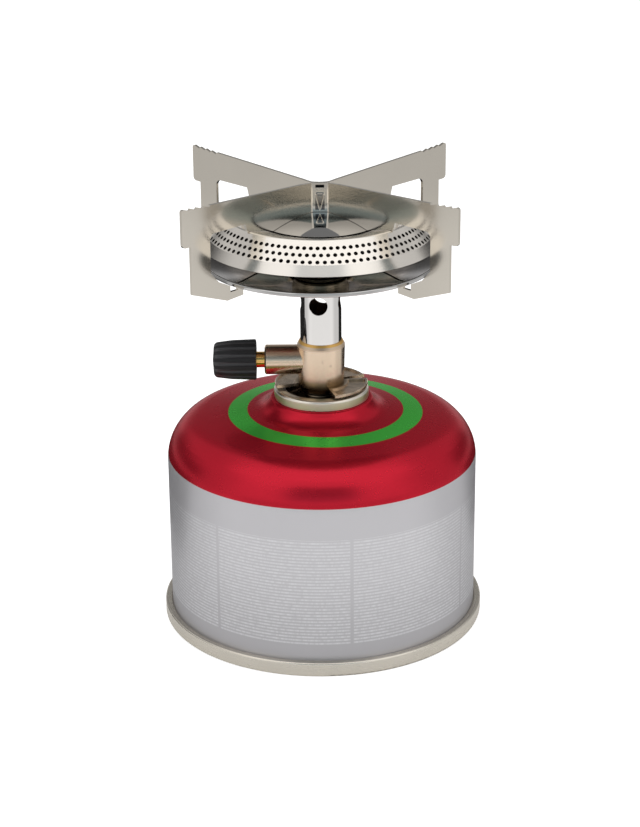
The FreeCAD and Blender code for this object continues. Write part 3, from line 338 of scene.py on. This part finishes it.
class Finish:
    """A node material under construction."""

    def __init__(self, name, tree=None):
        if tree is None:
            self.material = bpy.data.materials.new(name)
            self.material.use_nodes = True
            tree = self.material.node_tree
        self.tree = tree
        self.tree.nodes.clear()
        self.count = 0

    def node(self, kind, settings=None, output=None, **inputs):
        """Adds a node, its settings first and then its inputs; gives its first output, or the named one."""
        node = self.tree.nodes.new(kind)
        node.location = (220 * (self.count % 8), -260 * (self.count // 8))
        self.count += 1
        for key, value in (settings or {}).items():
            setattr(node, key, value)
        for key, value in inputs.items():
            self.feed(node.inputs[int(key) if key.isdigit() else key], value)
        if output is not None:
            return Wire(self, node.outputs[output])
        return Wire(self, next((o for o in node.outputs if o.enabled), None))

    def feed(self, socket, value):
        """Links a wire to a socket, or sets the socket's own value."""
        if isinstance(value, Wire):
            self.tree.links.new(value.socket, socket)
        elif hasattr(socket.default_value, "__len__"):
            socket.default_value = (*value, 1.0)[:len(socket.default_value)]
        else:
            socket.default_value = value

    def maths(self, operation, *values):
        return self.node(
            "ShaderNodeMath", {"operation": operation}, **{str(i): value for i, value in enumerate(values)}
        )

    def greater(self, first, second):
        """The greater of two values."""
        return self.maths("MAXIMUM", first, second)

    def turn(self, up, along):
        """Angle of a direction, in turns."""
        return self.maths("ARCTAN2", up, along) / math.tau

    def place(self):
        """Object coordinates: the row frame in metres."""
        return self.node("ShaderNodeTexCoord", output="Object")

    def axes(self, vector=None):
        """The three parts of a vector, or of the place where none is given."""
        split = self.node("ShaderNodeSeparateXYZ", Vector=vector or self.place())
        return tuple(Wire(self, output) for output in split.socket.node.outputs)

    def round_axis(self):
        """Distance from the Z axis, angle round it in turns, and height."""
        x, y, z = self.axes()
        return (x * x + y * y).root(), self.turn(y, x), z

    def noise(self, scale, detail=3.0, rough=0.55, stretch=None):
        place = self.place()
        if stretch is not None:
            place = self.node("ShaderNodeMapping", Vector=place, Scale=stretch)
        return self.node("ShaderNodeTexNoise", Vector=place, Scale=scale, Detail=detail, Roughness=rough)

    def lathe_grain(self, rings, angle):
        """Fine uneven rings, as a lathe or a brush leaves; rings counts them across the surface."""
        band = self.node("ShaderNodeCombineXYZ", X=rings, Y=angle * 3.0)
        return self.node("ShaderNodeTexNoise", Vector=band, Scale=1.0, Detail=3.0, Roughness=0.6)

    def blend(self, amount, first, second):
        """Mix of two colours."""
        return self.node(
            "ShaderNodeMix", {"data_type": "RGBA"}, output=2, **{"0": amount, "6": first, "7": second}
        )

    def bump(self, height, distance, strength=1.0, normal=None):
        """Normal of a height that is given from 0 to 1, times a distance."""
        under = {} if normal is None else {"Normal": normal}
        return self.node("ShaderNodeBump", Height=height, Distance=distance, Strength=strength, **under)

    def surface(self, colour, roughness, normal=None, metallic=1.0, **others):
        """Closes the material with its main shader."""
        inputs = {"Base Color": colour, "Roughness": roughness, "Metallic": metallic, **others}
        if normal is not None:
            inputs["Normal"] = normal
        shader = self.node("ShaderNodeBsdfPrincipled", **inputs)
        self.node("ShaderNodeOutputMaterial", Surface=shader)
        return self.material


def shade(colour, share):
    """A colour made darker or lighter by a share."""
    return tuple(min(1.0, part * share) for part in colour)


def clouded(f, amount, colour, low, high):
    """A colour that a noise makes a little darker or lighter."""
    return f.blend(amount, shade(colour, low), shade(colour, high))


# Finishes

RINGS_PER_METRE = 2600.0
RING_LEAN = 0.35


def ruled_lines(f, looks, angle, z):
    """Fine pale lines in columns round the wall, slightly uneven as thin print is."""
    line = (z - looks.rule_bottom) / looks.rule_pitch
    full_stroke, stroke_end = 0.18, 0.36
    full_column, column_end = 0.485, 0.491
    dots_round, dots_up = 260.0, 1.7
    faintest, more_ink = 0.22, 0.50
    quarter_turn = 0.25
    stroke = (line.fraction() - 0.5).size().fall(full_stroke, stroke_end)
    block = z.rise(looks.rule_bottom - looks.print_edge, looks.rule_bottom)
    block = block * z.fall(looks.rule_top, looks.rule_top + looks.print_edge)
    turn = (angle + quarter_turn - looks.rule_start / math.tau) * looks.rule_columns
    column = (turn.fraction() - 0.5).size().fall(full_column, column_end)
    spot = f.node("ShaderNodeCombineXYZ", X=angle * dots_round, Y=line.floor() * dots_up)
    ink = f.node("ShaderNodeTexNoise", Vector=spot, Scale=1.0, Detail=3.0, Roughness=0.7)
    return stroke * block * column * (faintest + ink.rise(0.30, 0.65) * more_ink)


def can_paint(looks):
    """Gloss red over satin grey lacquer on tinplate, with a green ring on the dome; the grey is painted
    darker towards the foot, as painted shade.
    """
    f = Finish("can_paint")
    x, y, z = f.axes()
    edge = looks.print_edge
    red = z.rise(looks.border - edge, looks.border + edge)
    patch = f.noise(26.0, 4.0)
    red_tone = clouded(f, patch, looks.red, 0.94, 1.05)
    grey_tone = clouded(f, patch, looks.grey, 0.97, 1.03)
    # Painted shade: the grey gets darker towards the foot, standing in for the shadowed floor that the lower
    # wall mirrors.
    painted_shade_low, painted_shade_high = 6.0 * MM, 50.0 * MM
    grey_tone = f.blend(z.rise(painted_shade_low, painted_shade_high), shade(looks.grey, 0.84), grey_tone)
    grey_tone = f.blend(ruled_lines(f, looks, f.turn(y, x), z), grey_tone, looks.pale)
    paint = f.blend(red, grey_tone, red_tone)
    off = x - looks.ring_aside
    reach = (off * off + y * y).root()
    ring = reach.rise(looks.ring_inner - edge, looks.ring_inner + edge)
    ring = ring * reach.fall(looks.ring_outer - edge, looks.ring_outer + edge)
    paint = f.blend(ring, paint, looks.green)
    wear = f.noise(60.0, 6.0, 0.7)
    return f.surface(
        paint, 0.31 - 0.07 * red + 0.06 * wear, metallic=0.55 + 0.15 * red,
        **{"IOR": 1.25, "Specular Tint": (0.50, 0.50, 0.50)},
    )


def spring_wire(wear):
    """Drawn wire of the canister's spring, with faint scratches."""
    f = Finish("spring_wire")
    grain = f.noise(400.0, 4.0, 0.6)
    cloud = f.noise(45.0, 4.0, 0.6)
    scratch = f.noise(1400.0, 2.0, 0.5, stretch=(1.0, 0.06, 1.0))
    return f.surface(
        clouded(f, cloud, wear.spring, 0.90, 1.08), 0.25 + 0.06 * grain + 0.05 * cloud,
        f.bump(grain * 0.7 + scratch * 0.3, 0.004 * MM, 0.5),
    )


def support_sheet(looks, wear):
    """Rolled stainless sheet, nearly a mirror, with a slot and a pressed V in the front fold's flat; the
    shade beside the V's ridges and inside the slot is painted.
    """
    f = Finish("support_sheet")
    x, y, z = f.axes()
    beside = x.size()
    grain = f.noise(300.0, 4.0, 0.6, stretch=(1.0, 1.0, 0.15))
    cloud = f.noise(38.0, 4.0, 0.6)
    speck = f.noise(900.0, 3.0, 0.7)

    v_foot, v_top = 143.9 * MM, 149.8 * MM
    v_narrow, v_lean = 0.15 * MM, 1.5 / 5.7
    front_face = -1.0 * MM
    ridge_depth = 0.35 * MM
    half = v_narrow + (z - v_foot) * v_lean
    flat = y.fall(front_face, front_face + 0.4 * MM)
    pressed = z.rise(v_foot - 0.4 * MM, v_foot) * z.fall(v_top - 1.4 * MM, v_top) * flat
    dimple = (beside / half).fall(0.55, 1.15) * pressed * beside.fall(2.2 * MM, 2.6 * MM)
    ridge = (beside - half).size().fall(0.14 * MM, 0.30 * MM)
    # Painted shade beside the pressed V's ridges, darker towards the V's foot.
    crease = (1.0 - ridge) * pressed * beside.fall(1.4 * MM, 1.7 * MM)
    crease = crease * (1.0 - z.rise(145.0 * MM, 149.0 * MM) * 0.5) * 0.85

    # Painted shade: the inside of the slot in the front sheet is painted near-black.
    slot_low, slot_high, slot_half = 151.10 * MM, 152.30 * MM, 1.40 * MM
    slot = beside.fall(slot_half, slot_half + 0.10 * MM)
    slot = slot * y.rise(front_face + 0.05 * MM, front_face + 0.15 * MM)
    slot = slot * z.rise(slot_low, slot_low + 0.15 * MM) * z.fall(slot_high - 0.15 * MM, slot_high)

    tone = clouded(f, cloud, looks.steel, 0.94, 1.05)
    tone = f.blend(crease, tone, wear.crease)
    tone = f.blend(slot, tone, wear.slot)
    dent = f.bump(1.0 - dimple, ridge_depth)
    return f.surface(tone, 0.07 + 0.05 * cloud + 0.04 * speck, f.bump(grain, 0.0022 * MM, 0.4, dent))


def turned_sheet(name, colour, rough, spread):
    """Spun or lathe-brushed metal: grain that runs round the axis."""
    f = Finish(name)
    radius, angle, z = f.round_axis()
    grain = f.lathe_grain((radius + z * RING_LEAN) * RINGS_PER_METRE, angle)
    cloud = f.noise(50.0, 4.0, 0.6)
    return f.surface(
        clouded(f, cloud, colour, 0.92, 1.06),
        rough - spread * 0.5 + spread * grain * 0.5 + spread * cloud * 0.5,
        f.bump(grain, 0.004 * MM, 0.5),
    )


def burner_sheet(looks, wear):
    """Stamped burner head, brushed outside and blackened by the flame inside and below."""
    f = Finish("burner_sheet")
    radius, angle, z = f.round_axis()
    low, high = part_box("burner_cap")
    skirt_lean = 0.621
    cone_sum = 173.35 * MM
    crown_radius, crown_height, crown_lean = 20.9 * MM, 139.95 * MM, 0.25
    skirt = (radius - high.x + (z - low.z) * skirt_lean) / math.hypot(1.0, skirt_lean)
    cone = (radius + z - cone_sum) / math.hypot(1.0, 1.0)
    crown = (z - crown_height - (radius - crown_radius) * crown_lean) / math.hypot(1.0, crown_lean)
    depth = -f.greater(f.greater(skirt, cone), crown)
    soot = depth.rise(0.20 * MM, 0.30 * MM)
    grain = f.lathe_grain((radius + z * RING_LEAN) * RINGS_PER_METRE, angle)
    cloud = f.noise(50.0, 4.0, 0.6)
    tone = f.blend(soot, clouded(f, cloud, looks.burner, 0.88, 1.06), wear.soot)
    return f.surface(
        tone, 0.16 + 0.06 * grain + 0.06 * cloud + 0.15 * soot, f.bump(grain, 0.004 * MM, 0.5)
    )


def scorched_dish(looks, wear):
    """Mirror-bright rim, with the bowl browned by heat, its outer part painted near-black as painted shade,
    and the underside painted darker brown as painted shade.
    """
    f = Finish("scorched_dish")
    radius = f.round_axis()[0]
    up = f.axes(f.node("ShaderNodeNewGeometry", output="Normal"))[2]
    bowl_radius, lip_radius = 37.4 * MM, 37.9 * MM
    brown_to, painted_shade_from = 26.0 * MM, 33.0 * MM
    bowl = up.rise(0.30, 0.60) * radius.fall(bowl_radius, lip_radius)
    # Painted shade on the faces turned down.
    below = (-up).rise(0.50, 0.80)
    cloud = f.noise(55.0, 5.0, 0.6)
    blotch = f.noise(120.0, 4.0, 0.65)
    brown = f.blend(blotch.rise(0.35, 0.65), wear.bowl_dark, wear.bowl_light)
    # Painted shade: the bowl darkens to near-black towards its outer part.
    brown = f.blend(radius.rise(brown_to, painted_shade_from), brown, wear.bowl_rim)
    tone = f.blend(bowl, clouded(f, cloud, looks.mirror, 0.94, 1.04), brown)
    tone = f.blend(below, tone, wear.below)
    return f.surface(tone, 0.05 + 0.03 * cloud + 0.08 * bowl, f.bump(blotch, 0.004 * MM, 0.4))


def plated_tube(looks, wear):
    """Bright plating on the tube, and bare brown brass inside it."""
    f = Finish("plated_tube")
    radius, angle, z = f.round_axis()
    bore_radius, wall_radius = 6.55 * MM, 6.75 * MM
    rings_up = 2200.0
    grain = f.lathe_grain(z * rings_up, angle)
    cloud = f.noise(60.0, 4.0, 0.6)
    bore = radius.fall(bore_radius, wall_radius)
    tone = f.blend(bore, clouded(f, cloud, looks.plating, 0.96, 1.04), wear.bore)
    return f.surface(tone, 0.045 + 0.03 * cloud + 0.25 * bore, f.bump(grain, 0.0015 * MM, 0.4))


def plated_forging(looks, wear):
    """Satin nickel over a forging, with the lip turned back to bare brass, the foot painted dark as painted
    shade, and the lobes painted darker in noisy patches.
    """
    f = Finish("plated_forging")
    radius, _, z = f.round_axis()
    lip_foot, shoulder_foot = 97.70 * MM, 96.2 * MM
    lip = z.rise(lip_foot, lip_foot + 0.15 * MM)
    shoulder = z.rise(shoulder_foot, shoulder_foot + 0.6 * MM)
    # Painted shade: the foot of the body is painted dark.
    foot = z.fall(84.6 * MM, 87.2 * MM) * radius.fall(8.0 * MM, 9.5 * MM)
    lobe = radius.rise(8.5 * MM, 10.0 * MM) * z.fall(88.5 * MM, 89.5 * MM)
    pits = f.noise(420.0, 5.0, 0.65)
    dents = f.noise(140.0, 3.0, 0.5)
    cloud = f.noise(90.0, 5.0, 0.6)
    lobe_mottle = f.noise(260.0, 5.0, 0.65)
    tone = clouded(f, cloud, looks.nickel, 0.90, 1.06)
    tone = f.blend(pits.rise(0.62, 0.72) * 0.5, tone, shade(looks.nickel, 0.55))
    # The lobes are painted down to half as bright, in noisy patches.
    tone = f.blend(lobe * (0.35 + 0.65 * lobe_mottle.rise(0.35, 0.65)), tone, shade(looks.nickel, 0.50))
    tone = f.blend(foot, tone, wear.foot)
    tone = f.blend(lip, tone, looks.brass)
    dent = f.bump(dents, 0.05 * MM, 0.5)
    return f.surface(
        tone, 0.17 + 0.10 * cloud + 0.08 * pits + 0.20 * shoulder, f.bump(pits, 0.02 * MM, 0.5, dent)
    )


def cup_sheet(looks, wear):
    """Tinplate of the valve cup, with the right-handed thread of its nipple; the inside of the curl is
    painted dark as painted shade, and the tinplate lighter than the seam's as painted highlight.
    """
    f = Finish("cup_tinplate")
    radius, angle, z = f.round_axis()
    cloud = f.noise(70.0, 4.0, 0.6)
    grain = f.noise(500.0, 3.0, 0.6)
    painted_shade_radius, curl_radius = 12.6 * MM, 13.6 * MM
    thread_pitch, thread_depth = 0.907 * MM, 0.28 * MM
    nipple_radius, nipple_foot = 5.7 * MM, 78.4 * MM
    # Painted highlight: the cup's tinplate is painted lighter than the seam's, up to a fifth above the
    # tinplate colour.
    tone = clouded(f, cloud, looks.tin, 1.00, 1.20)
    # Painted shade inside the curl.
    tone = f.blend(radius.fall(painted_shade_radius, curl_radius), tone, wear.cup)
    thread = ((z / thread_pitch - angle).fraction() - 0.5).size() * 2.0
    nipple = radius.fall(nipple_radius, nipple_radius + 0.2 * MM)
    nipple = nipple * z.rise(nipple_foot, nipple_foot + 0.4 * MM)
    dent = f.bump(thread * nipple, thread_depth)
    return f.surface(tone, 0.22 + 0.12 * cloud, f.bump(grain, 0.006 * MM, 0.4, dent))


def moulded_plastic(wear):
    """Black knob: satin lands, and flutes painted darker as painted shade."""
    f = Finish("moulded_plastic")
    _, y, z = f.axes()
    axis_height = next(joint for joint in frame["joints"] if joint["name"] == "knob_turn")["pos_m"][2]
    flutes, first_flute = 15.0, 4.25
    flute_floor, land_radius = 4.6 * MM, 5.4 * MM
    up = z - axis_height
    reach = (y * y + up * up).root()
    # Painted shade in the knob's flutes.
    flute = ((f.turn(up, y) * flutes - first_flute).fraction() - 0.5).size().fall(0.20, 0.32)
    flute = flute * reach.rise(flute_floor, land_radius)
    grain = f.noise(1500.0, 3.0, 0.6)
    cloud = f.noise(120.0, 3.0)
    tone = f.blend(flute, f.blend(cloud, wear.plastic, wear.plastic_rubbed), wear.flute)
    return f.surface(tone, 0.37 + 0.10 * grain + 0.25 * flute, f.bump(grain, 0.01 * MM, 0.4), metallic=0.0)


def soft_plain(name, colour, rough):
    """Rubber and plastic of the inner pieces."""
    f = Finish(name)
    grain = f.noise(700.0, 3.0)
    return f.surface(
        clouded(f, grain, colour, 0.85, 1.15), rough + 0.1 * grain,
        f.bump(grain, 0.02 * MM, 0.4), metallic=0.0,
    )


def darkened_collar(wear):
    """Ribbed black collar: bronze-toned ribs painted light as painted light, and near-black grooves as
    painted shade.
    """
    f = Finish("darkened_collar")
    grain = f.noise(500.0, 4.0, 0.65)
    groove_radius, rib_radius = 8.70 * MM, 8.95 * MM
    # Painted shade in the grooves, painted light on the ribs.
    groove = f.round_axis()[0].fall(groove_radius, rib_radius)
    tone = f.blend(groove, f.blend(grain, wear.rib_dark, wear.rib_light), wear.groove)
    return f.surface(tone, 0.24 + 0.12 * grain, f.bump(grain, 0.01 * MM, 0.4))


# Pieces

def dress(material, *names):
    """Gives CAD nodes a finish, and fails where one isn't there."""
    missing = [name for name in names if name not in NODES]
    if missing:
        raise RuntimeError(f"the model has no {missing}")
    for name in names:
        slots = NODES[name].data.materials
        slots.clear()
        slots.append(material)


class STOVE_OT_canister(bpy.types.Operator):
    """Paint the canister and finish its seam and valve cup"""

    bl_idname = "stove.canister"
    bl_label = "Canister"

    def execute(self, context):
        metals = context.scene.stove_metals
        dress(can_paint(context.scene.stove_canister), "canister_shell")
        dress(turned_sheet("seam_tinplate", metals.tin, 0.27, 0.16), "canister_base")
        dress(cup_sheet(metals, context.scene.stove_wear), "valve_cup")
        return {"FINISHED"}


class STOVE_OT_valve(bpy.types.Operator):
    """Finish the valve body, needle and knob"""

    bl_idname = "stove.valve"
    bl_label = "Valve and knob"

    def execute(self, context):
        metals = context.scene.stove_metals
        wear = context.scene.stove_wear
        brass = turned_sheet("turned_brass", metals.brass, 0.17, 0.10)
        dress(plated_forging(metals, wear), "valve_body")
        dress(brass, "spindle", "jet", "actuator_pin", "inlet_filter")
        dress(moulded_plastic(wear), "knob")
        return {"FINISHED"}


class STOVE_OT_inner(bpy.types.Operator):
    """Finish the seals, the canister's plunger and its spring"""

    bl_idname = "stove.inner"
    bl_label = "Inner pieces"

    def execute(self, context):
        wear = context.scene.stove_wear
        rubber = soft_plain("seal_rubber", wear.rubber, 0.6)
        dress(rubber, "cup_gasket", "stem_gasket", "canister_seal", "spindle_seal")
        dress(soft_plain("natural_plastic", wear.natural, 0.4), "valve_housing", "valve_plunger")
        dress(spring_wire(wear), "valve_spring")
        return {"FINISHED"}


class STOVE_OT_burner(bpy.types.Operator):
    """Finish the tube, collar, dish and burner head"""

    bl_idname = "stove.burner"
    bl_label = "Burner"

    def execute(self, context):
        metals = context.scene.stove_metals
        wear = context.scene.stove_wear
        dress(plated_tube(metals, wear), "mixing_tube")
        dress(darkened_collar(wear), "burner_collar")
        dress(scorched_dish(metals, wear), "drip_dish")
        dress(turned_sheet("mirror_steel", metals.mirror, 0.055, 0.04), "burner_disc")
        dress(burner_sheet(metals, wear), "burner_cap")
        dress(turned_sheet("scorched_steel", wear.pan, 0.30, 0.12), "burner_pan")
        return {"FINISHED"}


class STOVE_OT_supports(bpy.types.Operator):
    """Finish the two folded pot supports"""

    bl_idname = "stove.supports"
    bl_label = "Pot supports"

    def execute(self, context):
        scene = context.scene
        dress(support_sheet(scene.stove_metals, scene.stove_wear), "support_front", "support_back")
        return {"FINISHED"}


# Stage

WHITE = (1.0, 1.0, 1.0)


def kinds_of_ray(f):
    """Whether a ray comes from the camera, and whether from metal or glass."""
    path = f.node("ShaderNodeLightPath").socket.node
    seen, glossy, through = (
        Wire(f, path.outputs[name]) for name in ("Is Camera Ray", "Is Glossy Ray", "Is Transmission Ray")
    )
    return seen, f.greater(glossy, through)


def studio_round(looks, x, y):
    """What a level mirror sees: brightness, share of dark wing, and how much it looks to the back."""
    off_zero = 0.000001
    level = (x * x + y * y + off_zero).root()
    ahead = y / level
    wing_skew = 0.145
    wing = (ahead - x / level * wing_skew).rise(0.26, 0.36)
    bright = looks.sides + (looks.front - looks.sides) * (-ahead).rise(0.05, 0.60)
    return bright, wing, ahead


def make_floor(looks):
    """Pale floor that keeps the object's shadow; far off, mirrors see the studio in it."""
    mesh = bpy.data.meshes.new("floor")
    half = 4.0
    mesh.from_pydata(
        [(-half, -half, 0.0), (half, -half, 0.0), (half, half, 0.0), (-half, half, 0.0)], [], [(0, 1, 2, 3)]
    )
    floor = bpy.data.objects.new("floor", mesh)
    bpy.context.scene.collection.objects.link(floor)
    f = Finish("pale_floor")
    seen, mirrored = kinds_of_ray(f)
    x, y, _ = f.axes()
    bright, wing, ahead = studio_round(looks, x, y)
    reach = (x * x + y * y).root()
    front = (-ahead).rise(0.3, 0.7)
    front_far = front * reach.rise(0.36, 0.46)
    side_near = (1.0 - front) * reach.fall(0.45, 0.56)
    wing_near = wing * reach.fall(0.38, 0.46)
    bright = bright * (1.0 - front_far * 0.50) + side_near * 0.12
    bright = bright + (looks.wings * 0.5 - bright) * wing_near
    pale, lift_to_white = (0.82, 0.82, 0.82), 0.62
    shadow_reach, studio_reach = 0.085, 0.12
    matt = f.node("ShaderNodeBsdfDiffuse", Color=pale)
    lift = f.node("ShaderNodeEmission", Color=WHITE, Strength=seen * lift_to_white)
    near = f.node("ShaderNodeAddShader", **{"0": matt, "1": lift})
    studio = f.node("ShaderNodeEmission", Color=WHITE, Strength=bright)
    far = mirrored * reach.rise(shadow_reach, studio_reach)
    both = f.node("ShaderNodeMixShader", **{"0": far, "1": near, "2": studio})
    f.node("ShaderNodeOutputMaterial", Surface=both)
    f.material.cycles.emission_sampling = "NONE"
    mesh.materials.append(f.material)


def make_room(looks):
    """White to the camera; to mirrors a backdrop between dark wings, a roof and a dark screen in front."""
    world = bpy.data.worlds.new("room")
    world.use_nodes = True
    bpy.context.scene.world = world
    f = Finish("room", world.node_tree)
    seen, mirrored = kinds_of_ray(f)
    x, y, z = f.axes(f.node("ShaderNodeTexCoord", output="Generated"))
    bright, wing, ahead = studio_round(looks, x, y)
    backdrop = ahead.rise(0.84, 0.90)
    wing = wing * (1.0 - backdrop) * z.fall(0.15, 0.45)
    backdrop_tone = 1.0 - z.rise(0.08, 0.20) * 0.74
    high_back = z.rise(0.50, 0.62) * ahead.rise(-0.10, 0.30)
    roof = (z - ahead.rise(-0.2, 0.4) * 0.24).rise(0.50, 0.75)
    mirror = bright + (looks.wings - bright) * wing
    mirror = mirror + (backdrop_tone - mirror) * backdrop
    mirror = mirror * (1.0 - high_back * 0.10)
    mirror = mirror + (looks.roof - mirror) * roof
    screen = (-ahead).rise(0.866, 0.925) * z.rise(0.10, 0.17) * z.fall(0.66, 0.74)
    stripe = z.rise(0.46, 0.50) * z.fall(0.54, 0.58) * 0.38
    low = z.fall(0.32, 0.44) * 0.46
    mirror = mirror + (looks.screen + stripe + low - mirror) * screen
    tint = f.blend(screen * mirrored, WHITE, looks.screen_tint)
    strength = seen + (1.0 - seen) * (mirrored * mirror + (1.0 - mirrored) * looks.room)
    light = f.node("ShaderNodeBackground", Color=tint, Strength=strength)
    f.node("ShaderNodeOutputWorld", Surface=light)


def make_lamp(name, place, target, size, power):
    """Soft lamp that metal doesn't show."""
    light = bpy.data.lights.new(name, "AREA")
    light.shape = "RECTANGLE"
    light.size, light.size_y = size
    light.energy = power
    lamp = bpy.data.objects.new(name, light)
    lamp.location = place
    lamp.rotation_euler = (Vector(target) - Vector(place)).to_track_quat("-Z", "Y").to_euler()
    lamp.visible_glossy = False
    bpy.context.scene.collection.objects.link(lamp)


def make_camera(looks):
    """Camera in front of the object, turned by its pitch and roll."""
    data = bpy.data.cameras.new("camera")
    data.sensor_width = 36.0
    data.lens = looks.lens
    camera = bpy.data.objects.new("camera", data)
    ahead = Vector((0.0, math.cos(looks.pitch), -math.sin(looks.pitch)))
    level = Vector((1.0, 0.0, 0.0))
    upward = Vector((0.0, math.sin(looks.pitch), math.cos(looks.pitch)))
    side = level * math.cos(looks.roll) + upward * math.sin(looks.roll)
    top = upward * math.cos(looks.roll) - level * math.sin(looks.roll)
    turn = Matrix((side, top, -ahead)).transposed().to_4x4()
    camera.matrix_world = Matrix.Translation((looks.aside, -looks.distance, looks.rise)) @ turn
    bpy.context.scene.collection.objects.link(camera)
    bpy.context.scene.camera = camera


class STOVE_OT_stage(bpy.types.Operator):
    """Set up the pale floor, soft lamps and camera"""

    bl_idname = "stove.stage"
    bl_label = "Stage"

    def execute(self, context):
        looks = context.scene.stove_studio
        make_floor(looks)
        make_room(looks)
        valve, tube = (0.0, 0.0, 0.08), (0.0, 0.0, 0.1)
        make_lamp("key", (-0.9, -1.0, 1.1), valve, (0.7, 0.7), looks.lamps)
        make_lamp("fill", (1.1, -0.9, 0.9), valve, (0.7, 0.9), looks.lamps)
        make_lamp("top", (0.0, 0.1, 1.4), tube, (0.9, 0.9), looks.lamps)
        make_camera(looks)
        context.scene.view_settings.view_transform = "Standard"
        return {"FINISHED"}


class STOVE_PT_panel(bpy.types.Panel):
    """Steps of the stove, in order"""

    bl_label = "Camping Stove"
    bl_idname = "STOVE_PT_panel"
    bl_space_type = "VIEW_3D"
    bl_region_type = "UI"
    bl_category = "Stove"

    def draw(self, context):
        column = self.layout.column(align=True)
        for step in STEPS:
            column.operator(step.bl_idname)
        for group in LOOKS:
            looks = getattr(context.scene, group)
            box = self.layout.box()
            for key in looks.__annotations__:
                box.prop(looks, key)


LOOKS = {
    "stove_canister": CanisterLooks,
    "stove_metals": MetalLooks,
    "stove_wear": WearLooks,
    "stove_studio": StudioLooks,
}
STEPS = (
    STOVE_OT_canister,
    STOVE_OT_valve,
    STOVE_OT_inner,
    STOVE_OT_burner,
    STOVE_OT_supports,
    STOVE_OT_stage,
)
CLASSES = (*LOOKS.values(), *STEPS, STOVE_PT_panel)


def register():
    for cls in CLASSES:
        bpy.utils.register_class(cls)
    for name, group in LOOKS.items():
        setattr(bpy.types.Scene, name, bpy.props.PointerProperty(type=group))


def unregister():
    for name in LOOKS:
        delattr(bpy.types.Scene, name)
    for cls in reversed(CLASSES):
        bpy.utils.unregister_class(cls)


def main():
    register()
    bpy.ops.stove.canister()
    bpy.ops.stove.valve()
    bpy.ops.stove.inner()
    bpy.ops.stove.burner()
    bpy.ops.stove.supports()
    bpy.ops.stove.stage()


if __name__ == "__main__":
    main()
